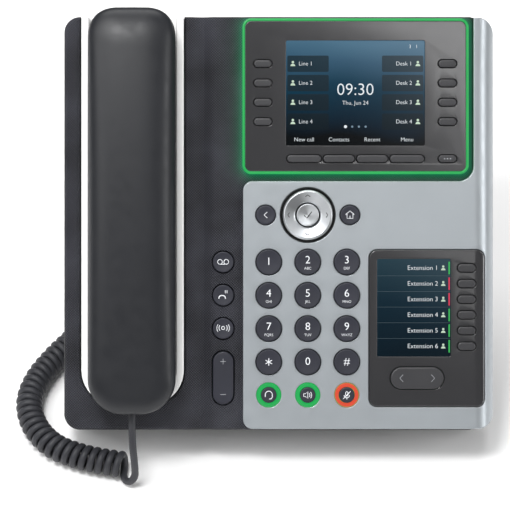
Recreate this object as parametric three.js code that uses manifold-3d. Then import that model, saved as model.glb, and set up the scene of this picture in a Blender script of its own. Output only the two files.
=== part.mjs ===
// Desk IP phone: a tilted body on a rear stand, a handset lying in a white cradle, two displays,
// a dial pad, function keys and the handset's curly cord. Millimetres, +Z up.
// Everything on the body is placed in the face frame: x to the right across the face, y up along
// the face from its lower edge, z out of the face. The face frame leans back by FACE_TILT.
import * as THREE from 'three';
import { mergeVertices } from 'three/addons/utils/BufferGeometryUtils.js';
import Module from 'manifold-3d';

const wasm = await Module();
wasm.setup();

// ---- Driving dimensions ----
const FACE_TILT = Math.PI / 4; // the face leans back 45 degrees from the table
const FACE_LIFT = 27.5; // height of the face's lower edge above the table
const BODY_WIDTH = 218.5;
const BODY_HEIGHT = 210;
const BODY_CORNER = 8;
const HALF_WIDTH = BODY_WIDTH / 2;
const GAP = 0.3; // clearance between pieces that touch or pass through each other
const WALL = 2.4;

// Depths in the face frame, front to back
const PLATE_TOP = 1.2; // the silver faceplate's surface
const PLATE_BOTTOM = -1.1;
const HOUSING_TOP = -1.4; // the dark housing's surface
const HOUSING_SPLIT = -20; // where the front and rear housings meet
const BODY_BACK = -34;

// The silver faceplate
const PLATE_LEFT = -18.3;
const PLATE_HEIGHT = 126.5;
const PLATE_FOOT = 0.6; // its lower edge stands this far in from the body's
const ROLL_RADIUS = 10; // its right-hand edge rolls over into the body's side
const SIDE_RAIL_LEFT = 98.7; // left edge of the rail that runs up beside the display

// The main display panel with its light ring
const PANEL = { x: 38.8, y: 169.5, width: 114.8, height: 79, corner: 4.5 };
const PANEL_TOP = 3.4;
const RING_WIDTH = 1.3;
const RING_TOP = 3;
const SCREEN = { x: 38.7, y: 171, width: 70, height: 53 };
const LINE_KEY = { width: 9.2, height: 3.7, pitch: 9.8, top: 185.9 };
const LINE_KEY_COLUMNS = { left: -8.2, right: 85.4 };
const SOFT_KEY = { y: 137.7, height: 3.7, gap: 1, first: 4, widths: [17.4, 15.9, 15.9, 17.4] };

// The side display panel
const SIDE_PANEL = { x: 75.1, y: 51.7, width: 58.6, height: 79.4, corner: 4 };
const SIDE_PANEL_TOP = 1.9;
const SIDE_SCREEN = { x: 68.45, y: 62.1, width: 37, height: 49.3 };
const SIDE_KEY = { x: 95.2, top: 82.3, pitch: 7.94, count: 6, width: 9.3, height: 4 };
const PAGE_KEY = { x: 70.1, y: 26.4, width: 27.1, height: 11.1 };

// Dial pad, navigation and function keys
const DIAL_X = 14.6;
const DIAL_TOP = 85.3;
const DIAL_PITCH_X = 19.8;
const DIAL_PITCH_Y = 16.9;
const DIAL_RADIUS = 6.4;
const NAV = { x: DIAL_X, y: 109.2, rim: 14.1, ring: 12.8, hole: 6.3, select: 5.7 };
const NAV_KEY_OFFSET = 21.4;
const NAV_KEY_RADIUS = 4.9;
const LAMP_KEY_Y = 17.8;
const LAMP_KEY_RADIUS = 4;
const LAMP_RING_RADIUS = 6;
const LEFT_KEY_X = -28.4;
const LEFT_KEY_RADIUS = 5.3;
const VOLUME_KEY = { x: LEFT_KEY_X, y: 26.4, width: 10.6, height: 27 };
const KEY_SIDES = 12;

// Cradle and handset
const CRADLE = { x: -74.4, width: 52, foot: 12.5, corner: 18, top: 0.4, floor: -10.5, back: -13 };
const CRADLE_WALL = 3.9;
const HANDSET = {
  foot: 8.6, width: 44.2, length: 205.2, top: 27, split: 10, chinCorner: 17.5, browCorner: 16.5,
};
const HANDSET_WALL = 2.2;
const HOOK = { y: 166, radius: 3, top: -9.1, bottom: -19 };

// Stand, ports and cord
const STAND_HALF_WIDTH = 62;
const STAND_WALL = 3;
const FOOT_HEIGHT = 3;
const CORD_DIAMETER = 3.8;
const CURL_DIAMETER = 14; // outer diameter of the curly cord's turns

// ---- Materials ----
const FINISHES = {
  darkHousing: { color: 0x2b2b2f, roughness: 0.6, metalness: 0 },
  darkKey: { color: 0x2d2e38, roughness: 0.5, metalness: 0 },
  silver: { color: 0xa9aeb3, roughness: 0.4, metalness: 0.2 },
  gloss: { color: 0x3c3c3f, roughness: 0.15, metalness: 0 },
  white: { color: 0xe6e5e3, roughness: 0.5, metalness: 0 },
  lightGuide: { color: 0x14c850, roughness: 0.35, metalness: 0 },
  screen: { color: 0x0c3a5c, roughness: 0.1, metalness: 0 },
  steel: { color: 0xb5b7b9, roughness: 0.3, metalness: 0.8 },
  rubber: { color: 0x1b1b1c, roughness: 0.85, metalness: 0 },
  board: { color: 0x1d5a34, roughness: 0.6, metalness: 0 },
  clear: { color: 0xd8dde0, roughness: 0.3, metalness: 0 },
};

// ---- Solids ----
function toSolid(geometry) {
  const bare = geometry.clone();
  bare.deleteAttribute('normal');
  bare.deleteAttribute('uv');
  const merged = mergeVertices(bare, 1e-4);
  return new wasm.Manifold(new wasm.Mesh({
    numProp: 3,
    vertProperties: new Float32Array(merged.attributes.position.array),
    triVerts: new Uint32Array(merged.index.array),
  }));
}

function toGeometry(solid) {
  const mesh = solid.getMesh();
  const geometry = new THREE.BufferGeometry();
  geometry.setAttribute('position', new THREE.BufferAttribute(new Float32Array(mesh.vertProperties), 3));
  geometry.setIndex(new THREE.BufferAttribute(new Uint32Array(mesh.triVerts), 1));
  geometry.computeVertexNormals();
  return geometry;
}

function cut(base, ...tools) {
  return toGeometry(tools.reduce((solid, tool) => solid.subtract(toSolid(tool)), toSolid(base)));
}

function join(...pieces) {
  return toGeometry(pieces.map(toSolid).reduce((solid, piece) => solid.add(piece)));
}

function common(first, second) {
  return toGeometry(toSolid(first).intersect(toSolid(second)));
}

// ---- Outlines in the face plane ----
function roundedRect(x, y, width, height, radius) {
  const [left, right] = [x - width / 2, x + width / 2];
  const [low, high] = [y - height / 2, y + height / 2];
  const shape = new THREE.Shape();
  shape.moveTo(left + radius, low);
  shape.lineTo(right - radius, low);
  shape.absarc(right - radius, low + radius, radius, -Math.PI / 2, 0);
  shape.lineTo(right, high - radius);
  shape.absarc(right - radius, high - radius, radius, 0, Math.PI / 2);
  shape.lineTo(left + radius, high);
  shape.absarc(left + radius, high - radius, radius, Math.PI / 2, Math.PI);
  shape.lineTo(left, low + radius);
  shape.absarc(left + radius, low + radius, radius, Math.PI, Math.PI * 1.5);
  return shape;
}

function grown(box, by) {
  const corner = (box.corner ?? 0.6) + by;
  return roundedRect(box.x, box.y, box.width + 2 * by, box.height + 2 * by, Math.max(corner, 0.3));
}

function outlineOf(points) {
  return new THREE.Shape(points.map(([x, y]) => new THREE.Vector2(x, y)));
}

// A slab of an outline between two depths, with its front edge rounded by bevel.
function slab(shape, bottom, top, { bevel = 0, curveSegments = 1 } = {}) {
  const depth = top - bottom;
  if (bevel === 0) {
    const plain = new THREE.ExtrudeGeometry(shape, { depth, bevelEnabled: false, curveSegments });
    return plain.translate(0, 0, bottom);
  }
  const rounded = new THREE.ExtrudeGeometry(shape, {
    depth, curveSegments, bevelEnabled: true,
    bevelThickness: bevel, bevelSize: bevel, bevelOffset: -bevel, bevelSegments: bevel > 3 ? 3 : 1,
  });
  rounded.translate(0, 0, bottom - bevel);
  return cut(rounded, block(-300, 300, -300, 300, bottom - 2 * bevel - 1, bottom));
}

function block(x0, x1, y0, y1, z0, z1) {
  const box = new THREE.BoxGeometry(x1 - x0, y1 - y0, z1 - z0);
  return box.translate((x0 + x1) / 2, (y0 + y1) / 2, (z0 + z1) / 2);
}

function rod(x, y, radius, bottom, top, sides = KEY_SIDES) {
  const cylinder = new THREE.CylinderGeometry(radius, radius, top - bottom, sides);
  return cylinder.rotateX(Math.PI / 2).translate(x, y, (bottom + top) / 2);
}

// A closed solid of revolution about the face normal; profile is [radius, depth] from the axis out.
function turned(x, y, profile, sides = KEY_SIDES) {
  const points = profile.map(([radius, depth]) => new THREE.Vector2(radius, depth));
  return new THREE.LatheGeometry(points, sides).rotateX(Math.PI / 2).translate(x, y, 0);
}

// An outline in the face's depth plane, [y, z], extruded across the face from x0 to x1.
function acrossFace(points, x0, x1) {
  const solid = new THREE.ExtrudeGeometry(outlineOf(points), { depth: x1 - x0, bevelEnabled: false });
  const axes = new THREE.Matrix4().makeBasis(
    new THREE.Vector3(0, 1, 0), new THREE.Vector3(0, 0, 1), new THREE.Vector3(1, 0, 0));
  return solid.applyMatrix4(axes).translate(x0, 0, 0);
}

// An outline in the face's cross-section plane, [x, z], extruded up the face from y0 to y1.
function alongFace(shape, y0, y1, curveSegments = 3) {
  const solid = new THREE.ExtrudeGeometry(shape, { depth: y1 - y0, bevelEnabled: false, curveSegments });
  return solid.rotateX(Math.PI / 2).translate(0, y1, 0);
}

// ---- The assembly ----
const phone = new THREE.Group();
const face = new THREE.Group();
face.rotation.x = FACE_TILT;
face.position.z = FACE_LIFT;
const table = new THREE.Group();
phone.add(face, table);

function piece(name, geometry, finish, parent = face) {
  const mesh = new THREE.Mesh(geometry, new THREE.MeshStandardMaterial(FINISHES[finish]));
  mesh.name = name;
  parent.add(mesh);
  return mesh;
}

// ---- Faceplate ----
// Cross-section of a skin that lies on the face and rolls over at the right-hand edge.
function rolledSkin(left, top, bottom, sideBottom) {
  const centreX = HALF_WIDTH - ROLL_RADIUS;
  const centreZ = PLATE_TOP - ROLL_RADIUS;
  const outer = top - centreZ;
  const inner = bottom - centreZ;
  const shape = new THREE.Shape();
  shape.moveTo(left, top);
  shape.lineTo(left, bottom);
  shape.lineTo(centreX, bottom);
  shape.absarc(centreX, centreZ, inner, Math.PI / 2, 0, true);
  shape.lineTo(centreX + inner, sideBottom);
  shape.lineTo(centreX + outer, sideBottom);
  shape.lineTo(centreX + outer, centreZ);
  shape.absarc(centreX, centreZ, outer, 0, Math.PI / 2);
  return shape;
}

function faceplateOutline() {
  const [left, right, low, high] = [PLATE_LEFT, HALF_WIDTH, PLATE_FOOT, BODY_HEIGHT - PLATE_FOOT];
  const [corner, inner] = [5, 7.5];
  const shape = new THREE.Shape();
  shape.moveTo(left + corner, low);
  shape.lineTo(right - BODY_CORNER, low);
  shape.absarc(right - BODY_CORNER, low + BODY_CORNER, BODY_CORNER, -Math.PI / 2, 0);
  shape.lineTo(right, high - BODY_CORNER);
  shape.absarc(right - BODY_CORNER, high - BODY_CORNER, BODY_CORNER, 0, Math.PI / 2);
  shape.lineTo(SIDE_RAIL_LEFT, high);
  shape.lineTo(SIDE_RAIL_LEFT, PLATE_HEIGHT + inner);
  shape.absarc(SIDE_RAIL_LEFT - inner, PLATE_HEIGHT + inner, inner, 0, -Math.PI / 2, true);
  shape.lineTo(left + corner, PLATE_HEIGHT);
  shape.absarc(left + corner, PLATE_HEIGHT - corner, corner, Math.PI / 2, Math.PI);
  shape.lineTo(left, low + corner);
  shape.absarc(left + corner, low + corner, corner, Math.PI, Math.PI * 1.5);
  return shape;
}

const dialKeys = [];
const DIAL_NAMES = ['1', '2', '3', '4', '5', '6', '7', '8', '9', 'star', '0', 'hash'];
DIAL_NAMES.forEach((label, index) => {
  const column = index % 3 - 1;
  const row = Math.floor(index / 3);
  dialKeys.push({
    name: `dial_key_${label}`, radius: DIAL_RADIUS,
    x: DIAL_X + column * DIAL_PITCH_X, y: DIAL_TOP - row * DIAL_PITCH_Y,
  });
});
const navKeys = [
  { name: 'back_key', x: NAV.x - NAV_KEY_OFFSET, y: NAV.y, radius: NAV_KEY_RADIUS },
  { name: 'home_key', x: NAV.x + NAV_KEY_OFFSET, y: NAV.y, radius: NAV_KEY_RADIUS },
];
const lampKeys = ['headset_key', 'speaker_key', 'mute_key'].map((name, index) => (
  { name, x: DIAL_X + (index - 1) * DIAL_PITCH_X, y: LAMP_KEY_Y, radius: LAMP_KEY_RADIUS }));
const leftKeys = ['message_key', 'hold_key', 'transfer_key'].map((name, row) => (
  { name, x: LEFT_KEY_X, y: DIAL_TOP - row * DIAL_PITCH_Y, radius: LEFT_KEY_RADIUS }));

function faceplate() {
  const section = rolledSkin(PLATE_LEFT, PLATE_TOP, PLATE_BOTTOM, HOUSING_SPLIT + GAP);
  const skin = alongFace(section, 0, BODY_HEIGHT);
  const solid = common(skin, slab(faceplateOutline(), BODY_BACK, PLATE_TOP + 1));
  const holes = [...dialKeys, ...navKeys].map((key) => rod(key.x, key.y, key.radius + GAP, -5, 5));
  const lampHoles = lampKeys.map((key) => rod(key.x, key.y, LAMP_RING_RADIUS + GAP, -5, 5));
  const navHole = rod(NAV.x, NAV.y, NAV.rim, -5, 5, 24);
  const panelHole = slab(grown(SIDE_PANEL, GAP), -6, 5);
  return cut(solid, ...holes, ...lampHoles, navHole, panelHole);
}
piece('faceplate', faceplate(), 'silver');

// ---- Front and rear housings ----
const HOUSING_RIGHT = 98.9; // the front housing's deck stops where the faceplate starts to roll over
const LEDGE_RIGHT = 106.6;
const LEDGE_TOP = -9.3;

function housingOutline(right, inset = 0) {
  const width = right + HALF_WIDTH;
  return roundedRect(right - width / 2, BODY_HEIGHT / 2, width - 2 * inset, BODY_HEIGHT - 2 * inset,
    BODY_CORNER - inset);
}

function cradleOutline(grow, high) {
  const { x, width, foot, corner } = CRADLE;
  const [left, right, low] = [x - width / 2 - grow, x + width / 2 + grow, foot - grow];
  const radius = corner + grow;
  const shape = new THREE.Shape();
  shape.moveTo(left + radius, low);
  shape.lineTo(right - radius, low);
  shape.absarc(right - radius, low + radius, radius, -Math.PI / 2, 0);
  shape.lineTo(right, high);
  shape.lineTo(left, high);
  shape.lineTo(left, low + radius);
  shape.absarc(left + radius, low + radius, radius, Math.PI, Math.PI * 1.5);
  return shape;
}

// A deck under the faceplate, and a lower ledge that carries on to the body's side under the roll.
function frontHousing() {
  const deck = slab(housingOutline(HOUSING_RIGHT), HOUSING_SPLIT, HOUSING_TOP, { bevel: 1.6 });
  const ledge = slab(housingOutline(LEDGE_RIGHT), HOUSING_SPLIT, LEDGE_TOP);
  const underDeck = slab(housingOutline(HOUSING_RIGHT, WALL), HOUSING_SPLIT - 1, HOUSING_TOP - WALL);
  const underLedge = slab(housingOutline(LEDGE_RIGHT, WALL), HOUSING_SPLIT - 1, LEDGE_TOP - WALL);
  const inside = join(underDeck, underLedge);
  const cradlePocket = slab(cradleOutline(GAP, BODY_HEIGHT + 5), CRADLE.back - GAP, 5, { curveSegments: 3 });
  const plateWindow = slab(roundedRect(40, 64.35, 108, 119.7, 3), -8, 3);
  const displayWindow = slab(grown(PANEL, -4), -8, 3);
  const keyHoles = leftKeys.map((key) => rod(key.x, key.y, key.radius + GAP, -8, 3));
  const sideKeyNotch = block(SIDE_KEY.x - 8, HOUSING_RIGHT + 2, 36, 90, -8, 3);
  const openings = [cradlePocket, plateWindow, displayWindow, sideKeyNotch, ...keyHoles, keySlot(VOLUME_KEY)];
  return cut(join(deck, ledge), inside, ...openings);
}
piece('front_housing', frontHousing(), 'darkHousing');

const JACK = { x: -78, y: 62, width: 8, height: 7, depth: 9 }; // handset jack in the rear housing
const PORT = { y: 96, height: 12, width: 78, x: 0 }; // window for the row of network ports

function rearHousing() {
  const shell = slab(housingOutline(HALF_WIDTH), BODY_BACK, HOUSING_SPLIT - GAP);
  const inside = slab(housingOutline(HALF_WIDTH, WALL), BODY_BACK + WALL, HOUSING_SPLIT + 1);
  const { x, y, width, height } = JACK;
  const jackHole = slab(roundedRect(x, y, width, height, 0.4), BODY_BACK - 1, BODY_BACK + 5);
  const portHole = slab(grown(PORT, GAP), BODY_BACK - 1, BODY_BACK + 5);
  return cut(shell, inside, jackHole, portHole);
}
piece('rear_housing', rearHousing(), 'darkHousing');

// ---- Main display ----
function lineKeyRow(index) {
  return LINE_KEY.top - index * LINE_KEY.pitch;
}

function capsule(x, y, width, height) {
  return roundedRect(x, y, width, height, Math.min(width, height) / 2 - 0.01);
}

// The slot that a capsule key passes through.
function keySlot({ x, y, width, height }) {
  return slab(capsule(x, y, width + 2 * GAP, height + 2 * GAP), -8, 8);
}

const softKeys = SOFT_KEY.widths.map((width, index) => {
  const before = SOFT_KEY.widths.slice(0, index).reduce((sum, each) => sum + each + SOFT_KEY.gap, 0);
  const { y, height, first } = SOFT_KEY;
  return { name: `soft_key_${index + 1}`, x: first + before + width / 2, y, width, height };
});
const moreKey = {
  name: 'more_key', x: LINE_KEY_COLUMNS.right, y: SOFT_KEY.y, width: LINE_KEY.width, height: SOFT_KEY.height,
};

function displayPanel() {
  const inset = -RING_WIDTH - GAP;
  const base = slab(grown(PANEL, inset), PLATE_BOTTOM, PANEL_TOP);
  const window = slab(grown(SCREEN, GAP), -5, 8);
  const slots = [];
  for (const x of Object.values(LINE_KEY_COLUMNS)) {
    for (let row = 0; row < 4; row += 1) {
      slots.push(keySlot({ ...LINE_KEY, x, y: lineKeyRow(row) }));
    }
  }
  return cut(base, window, ...slots, ...[...softKeys, moreKey].map(keySlot));
}
piece('display_panel', displayPanel(), 'gloss');
piece('status_light_ring', cut(
  slab(grown(PANEL, 0), PLATE_BOTTOM, RING_TOP),
  slab(grown(PANEL, -RING_WIDTH), -5, 8)), 'lightGuide');
piece('main_screen', join(
  slab(roundedRect(SCREEN.x, SCREEN.y, 76, 58, 1), -5.5, -1.5),
  slab(grown(SCREEN, 0), -2, PANEL_TOP - GAP)), 'screen');

// ---- Side display ----
function sidePanel() {
  const skin = alongFace(rolledSkin(30, SIDE_PANEL_TOP, PLATE_BOTTOM, HOUSING_SPLIT), 5, 100);
  const solid = common(skin, slab(grown(SIDE_PANEL, 0), -6, 4));
  const window = slab(grown(SIDE_SCREEN, GAP), -5, 8);
  const slots = [keySlot(PAGE_KEY)];
  for (let row = 0; row < SIDE_KEY.count; row += 1) {
    slots.push(keySlot({ ...SIDE_KEY, y: SIDE_KEY.top - row * SIDE_KEY.pitch }));
  }
  return cut(solid, window, ...slots);
}
piece('side_panel', sidePanel(), 'gloss');
piece('side_screen', join(
  slab(roundedRect(SIDE_SCREEN.x, SIDE_SCREEN.y, 40, 53, 1), -5.5, -1.5),
  slab(grown(SIDE_SCREEN, 0), -2, SIDE_PANEL_TOP - GAP)), 'screen');

// ---- Keys ----
// A round key: a cap with a softened edge over a wider flange that keeps it in its hole.
function roundKey({ name, x, y, radius }, top, flangeTop, finish = 'darkKey', flange = 0.8) {
  const bottom = flangeTop - 1;
  piece(name, turned(x, y, [
    [0, bottom], [radius + flange, bottom], [radius + flange, flangeTop], [radius, flangeTop],
    [radius, top - 0.5], [radius - 0.5, top], [0, top - 0.2],
  ]), finish);
}

// A long key: a capsule cap on a taller base that keeps it in its slot.
function longKey({ name, x, y, width, height }, top, baseTop) {
  piece(name, join(
    slab(capsule(x, y, width, height), baseTop - 0.5, top),
    slab(roundedRect(x, y, width - 0.4, height + 1.8, 0.8), baseTop - 1.2, baseTop)), 'darkKey');
}

// A column of small keys moulded on one springy strip.
function keyStrip(name, x, firstY, pitch, count, { width, height }, top, stripTop) {
  const caps = [];
  for (let row = 0; row < count; row += 1) {
    caps.push(slab(capsule(x, firstY - row * pitch, width, height), stripTop - 0.5, top));
  }
  const length = (count - 1) * pitch + height + 1.6;
  const middle = firstY - (count - 1) * pitch / 2;
  const strip = slab(roundedRect(x, middle, width + 1.4, length, 1), stripTop - 1.2, stripTop);
  piece(name, join(strip, ...caps), 'darkKey');
}

for (const key of dialKeys) roundKey(key, 2.6, -1.8);
for (const key of navKeys) roundKey(key, 2.2, -1.8);
for (const key of lampKeys) roundKey(key, 2.1, -6.2, 'darkKey', 0);
for (const key of leftKeys) roundKey(key, -0.4, -4.4);
for (const key of [...softKeys, moreKey]) longKey(key, PANEL_TOP + 0.9, PLATE_BOTTOM - 0.5);
for (const [side, x] of Object.entries(LINE_KEY_COLUMNS)) {
  const { top, pitch } = LINE_KEY;
  keyStrip(`line_keys_${side}`, x, top, pitch, 4, LINE_KEY, PANEL_TOP + 0.9, PLATE_BOTTOM - 0.5);
}
keyStrip('side_line_keys', SIDE_KEY.x, SIDE_KEY.top, SIDE_KEY.pitch, SIDE_KEY.count, SIDE_KEY,
  SIDE_PANEL_TOP + 0.8, PLATE_BOTTOM - 0.5);
function rockerKey({ x, y, width, height }, bottom, top) {
  return slab(capsule(x, y, width, height), bottom, top);
}
piece('page_key', rockerKey(PAGE_KEY, -2.5, 2.9), 'darkKey');
piece('volume_key', rockerKey(VOLUME_KEY, -5, -0.2), 'darkKey');

// The navigation ring tips on a gimbal plate under it; the select key passes through both.
const NAV_TOP = 2.6;
piece('nav_ring', turned(NAV.x, NAV.y, [
  [NAV.hole, -2.4], [NAV.ring, -2.4], [NAV.ring, 1.7], [NAV.ring - 0.9, NAV_TOP],
  [NAV.hole + 0.5, 1.6], [NAV.hole, 1.2], [NAV.hole, -2.4],
], 24), 'steel');
piece('nav_gimbal', cut(
  rod(NAV.x, NAV.y, NAV.rim - 0.4, -4.8, -3.3, 20),
  rod(NAV.x, NAV.y, NAV.hole + GAP, -9, 5, 16)), 'rubber');
piece('select_key', turned(NAV.x, NAV.y, [
  [0, -6], [NAV.select, -6], [NAV.select, 1.4], [NAV.select - 0.5, 1.9], [0, 1.6],
], 16), 'steel');

// Rings around the three lamp keys, moulded on one bar behind the faceplate.
function lampRings() {
  const bar = slab(roundedRect(DIAL_X, LAMP_KEY_Y, 2 * DIAL_PITCH_X + 16, 13, 4), -4.6, -3.4);
  const rings = lampKeys.map((key) => rod(key.x, key.y, LAMP_RING_RADIUS, -4, PLATE_TOP + 0.5, 16));
  const holes = lampKeys.map((key) => rod(key.x, key.y, LAMP_KEY_RADIUS + GAP, -9, 5, 12));
  return cut(join(bar, ...rings), ...holes);
}
piece('lamp_key_rings', lampRings(), 'lightGuide');

// ---- Inside the body ----
const MAT_TOP = -8.6;
function keypadMat() {
  const sheet = slab(roundedRect(DIAL_X, 62, 62, 116, 3), MAT_TOP - 1.6, MAT_TOP);
  const domes = [...dialKeys, ...navKeys].map((key) => turned(key.x, key.y, [
    [0, MAT_TOP - 0.5], [3.4, MAT_TOP - 0.5], [2.2, MAT_TOP + 1.2], [0, MAT_TOP + 1.2],
  ], 8));
  return join(sheet, ...domes);
}
piece('keypad_mat', keypadMat(), 'rubber');
piece('main_board', cut(
  slab(roundedRect(22, 104, 150, 188, 3), -24, -22.4),
  rod(-45, 180, 1.7, -30, 0, 12), rod(90, 180, 1.7, -30, 0, 12),
  rod(-45, 20, 1.7, -30, 0, 12), rod(90, 20, 1.7, -30, 0, 12)), 'board');
piece('loudspeaker', turned(-32, 140, [
  [0, -19], [8, -19], [8, -14.5], [13, -9], [13, -7], [11, -7], [4, -10.5], [0, -9.5],
], 16), 'steel');

// ---- Cradle and hook switch ----
function cradleInsert() {
  const tray = slab(cradleOutline(0, BODY_HEIGHT - 0.4), CRADLE.back, CRADLE.top, { curveSegments: 3 });
  const trough = slab(cradleOutline(-CRADLE_WALL, BODY_HEIGHT + 5), CRADLE.floor, 5, { curveSegments: 3 });
  const hookHole = rod(CRADLE.x, HOOK.y, HOOK.radius + 0.4, -20, 0, 12);
  return cut(tray, trough, hookHole);
}
piece('cradle_insert', cradleInsert(), 'white');
piece('hook_plunger', turned(CRADLE.x, HOOK.y, [
  [0, HOOK.bottom], [HOOK.radius + 1.5, HOOK.bottom], [HOOK.radius + 1.5, HOOK.bottom + 1.2],
  [HOOK.radius, HOOK.bottom + 1.2], [HOOK.radius, HOOK.top - 1], [HOOK.radius - 1, HOOK.top], [0, HOOK.top],
], 12), 'darkKey');

// ---- Handset ----
const HANDSET_HEAD = HANDSET.foot + HANDSET.length;

function handsetOutline(inset) {
  const half = HANDSET.width / 2 - inset;
  const [low, high] = [HANDSET.foot + inset, HANDSET_HEAD - inset];
  const [chin, brow] = [HANDSET.chinCorner - inset, HANDSET.browCorner - inset];
  const { x } = CRADLE;
  const shape = new THREE.Shape();
  shape.moveTo(x - half + chin, low);
  shape.lineTo(x + half - chin, low);
  shape.absarc(x + half - chin, low + chin, chin, -Math.PI / 2, 0);
  shape.lineTo(x + half, high - brow);
  shape.absarc(x + half - brow, high - brow, brow, 0, Math.PI / 2);
  shape.lineTo(x - half + brow, high);
  shape.absarc(x - half + brow, high - brow, brow, Math.PI / 2, Math.PI);
  shape.lineTo(x - half, low + chin);
  shape.absarc(x - half + chin, low + chin, chin, Math.PI, Math.PI * 1.5);
  return shape;
}

function handsetOuterShell() {
  const crown = slab(handsetOutline(0), HANDSET.split, HANDSET.top, { bevel: 8, curveSegments: 2 });
  const inside = slab(handsetOutline(HANDSET_WALL), HANDSET.split - 1, HANDSET.top - 8, { curveSegments: 2 });
  return cut(crown, inside);
}
piece('handset_outer_shell', handsetOuterShell(), 'darkHousing');

// The shell that faces the user's head: deep at the ear and mouth ends, arched at the grip.
const EAR_FACE = -8.8;
const MOUTH_FACE = -8.8;
const GRIP_FACE = 3;
const SHELL_EDGE = HANDSET.split - GAP;
const innerShellSection = [
  [10.5, SHELL_EDGE], [10.5, 3], [17.5, 1.2], [19, -6.5], [22, MOUTH_FACE], [46, MOUTH_FACE],
  [58, -3], [72, GRIP_FACE], [146, GRIP_FACE], [158, -3], [164, EAR_FACE], [205, EAR_FACE], [211, -4],
  [212, SHELL_EDGE],
];
const innerShellHollow = [
  [13, SHELL_EDGE + 1], [13, 5.2], [20, 3.4], [22, -5], [24, -6.6], [45, -6.6], [56, -1.2],
  [71, GRIP_FACE + 2.2], [147, GRIP_FACE + 2.2], [159, -1.2], [165.5, -6.6], [204, -6.6], [208.5, -3],
  [209.5, SHELL_EDGE + 1],
];
const HANDSET_JACK = { y0: 9, y1: 20.8, z0: 5, z1: 11 };

function handsetInnerShell() {
  const half = HANDSET.width / 2 - 1.3;
  const solid = acrossFace(innerShellSection, CRADLE.x - half, CRADLE.x + half);
  const rounded = common(solid, slab(handsetOutline(1.3), EAR_FACE - 1, HANDSET.split, { curveSegments: 2 }));
  const insideTrough = join(
    slab(cradleOutline(-CRADLE_WALL - 1.6, BODY_HEIGHT + 20), EAR_FACE - 1, 1.5, { curveSegments: 2 }),
    block(-120, -30, 0, 230, 1, 20));
  const hollow = common(
    acrossFace(innerShellHollow, CRADLE.x - half + HANDSET_WALL, CRADLE.x + half - HANDSET_WALL),
    slab(handsetOutline(1.3 + HANDSET_WALL), EAR_FACE - 1, HANDSET.split + 2, { curveSegments: 2 }));
  const { y0, y1, z0, z1 } = HANDSET_JACK;
  const jack = block(CRADLE.x - 4.3, CRADLE.x + 4.3, y0 - 1, y1 + GAP, z0 - GAP, z1);
  return cut(common(rounded, insideTrough), hollow, jack);
}
piece('handset_inner_shell', handsetInnerShell(), 'darkHousing');
piece('handset_receiver', turned(CRADLE.x, 185, [
  [0, -6.2], [15, -6.2], [15, -3], [8, -3], [8, 0], [0, 0],
], 16), 'steel');
piece('handset_microphone', rod(CRADLE.x, 34, 4.8, -6.2, -1.5, 12), 'steel');
piece('cord_plug_handset', block(
  CRADLE.x - 4, CRADLE.x + 4, HANDSET_JACK.y0 + GAP, HANDSET_JACK.y1,
  HANDSET_JACK.z0, HANDSET_JACK.z1 - 1.6), 'clear');

// ---- Rear jack and port block ----
const PLUG_OUT = 8; // how far the cord's plug stands out of the rear housing
piece('cord_plug_base', block(
  JACK.x - JACK.width / 2 + GAP, JACK.x + JACK.width / 2 - GAP,
  JACK.y - JACK.height / 2 + GAP, JACK.y + JACK.height / 2 - GAP,
  BODY_BACK - PLUG_OUT, BODY_BACK + 4), 'clear');

function portBlock() {
  const shell = slab(grown(PORT, 0), BODY_BACK, -25);
  const sockets = [-26, 0, 26].map((x) => (
    block(x - 6, x + 6, PORT.y - 4, PORT.y + 4, BODY_BACK - 1, BODY_BACK + 8)));
  return cut(shell, ...sockets);
}
piece('port_block', portBlock(), 'rubber');

// ---- Stand and feet, standing on the table ----
// A point of the face frame in the upright frame, as [y, z].
function upright(faceY, faceZ) {
  const [sin, cos] = [Math.sin(FACE_TILT), Math.cos(FACE_TILT)];
  return [faceY * cos - faceZ * sin, FACE_LIFT + faceY * sin + faceZ * cos];
}

const STAND_TOP = 158; // how far up the body's back the stand reaches
const STAND_REAR = 152;
const BACK_OF_BODY = BODY_BACK - GAP;

function stand() {
  const [frontY, frontZ] = upright(4, BACK_OF_BODY);
  const [topY, topZ] = upright(STAND_TOP, BACK_OF_BODY);
  const wedge = [[frontY, frontZ], [frontY + 3, FOOT_HEIGHT], [STAND_REAR, FOOT_HEIGHT],
    [STAND_REAR, FOOT_HEIGHT + 8], [topY + 6, topZ - 2], [topY, topZ]];
  const solid = acrossFace(wedge, -STAND_HALF_WIDTH, STAND_HALF_WIDTH);
  const inner = STAND_HALF_WIDTH - STAND_WALL;
  const hollow = acrossFace([
    [frontY + 8, -5], [STAND_REAR - 16, -5], [STAND_REAR - 16, FOOT_HEIGHT + 1],
    [STAND_REAR - STAND_WALL, FOOT_HEIGHT + 3.5], [STAND_REAR - STAND_WALL, FOOT_HEIGHT + 8],
    [topY + 2.5, topZ - 7], [topY - 4, topZ - 4.5], [topY - 40, topZ - 32],
    [frontY - 8, frontZ], [frontY + 8, frontZ],
  ], -inner, inner);
  const cableWindow = acrossFace([
    [STAND_REAR - 30, 22], [STAND_REAR + 5, 22], [STAND_REAR + 5, 60], [STAND_REAR - 30, 60],
  ], -32, 32);
  return cut(solid, hollow, cableWindow);
}
piece('stand', stand(), 'darkHousing', table);

for (const [name, y] of [['front_foot', 40], ['rear_foot', STAND_REAR - 9]]) {
  piece(name, slab(roundedRect(0, y, 112, 9, 4), 0, FOOT_HEIGHT - 0.1), 'rubber', table);
}

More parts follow.
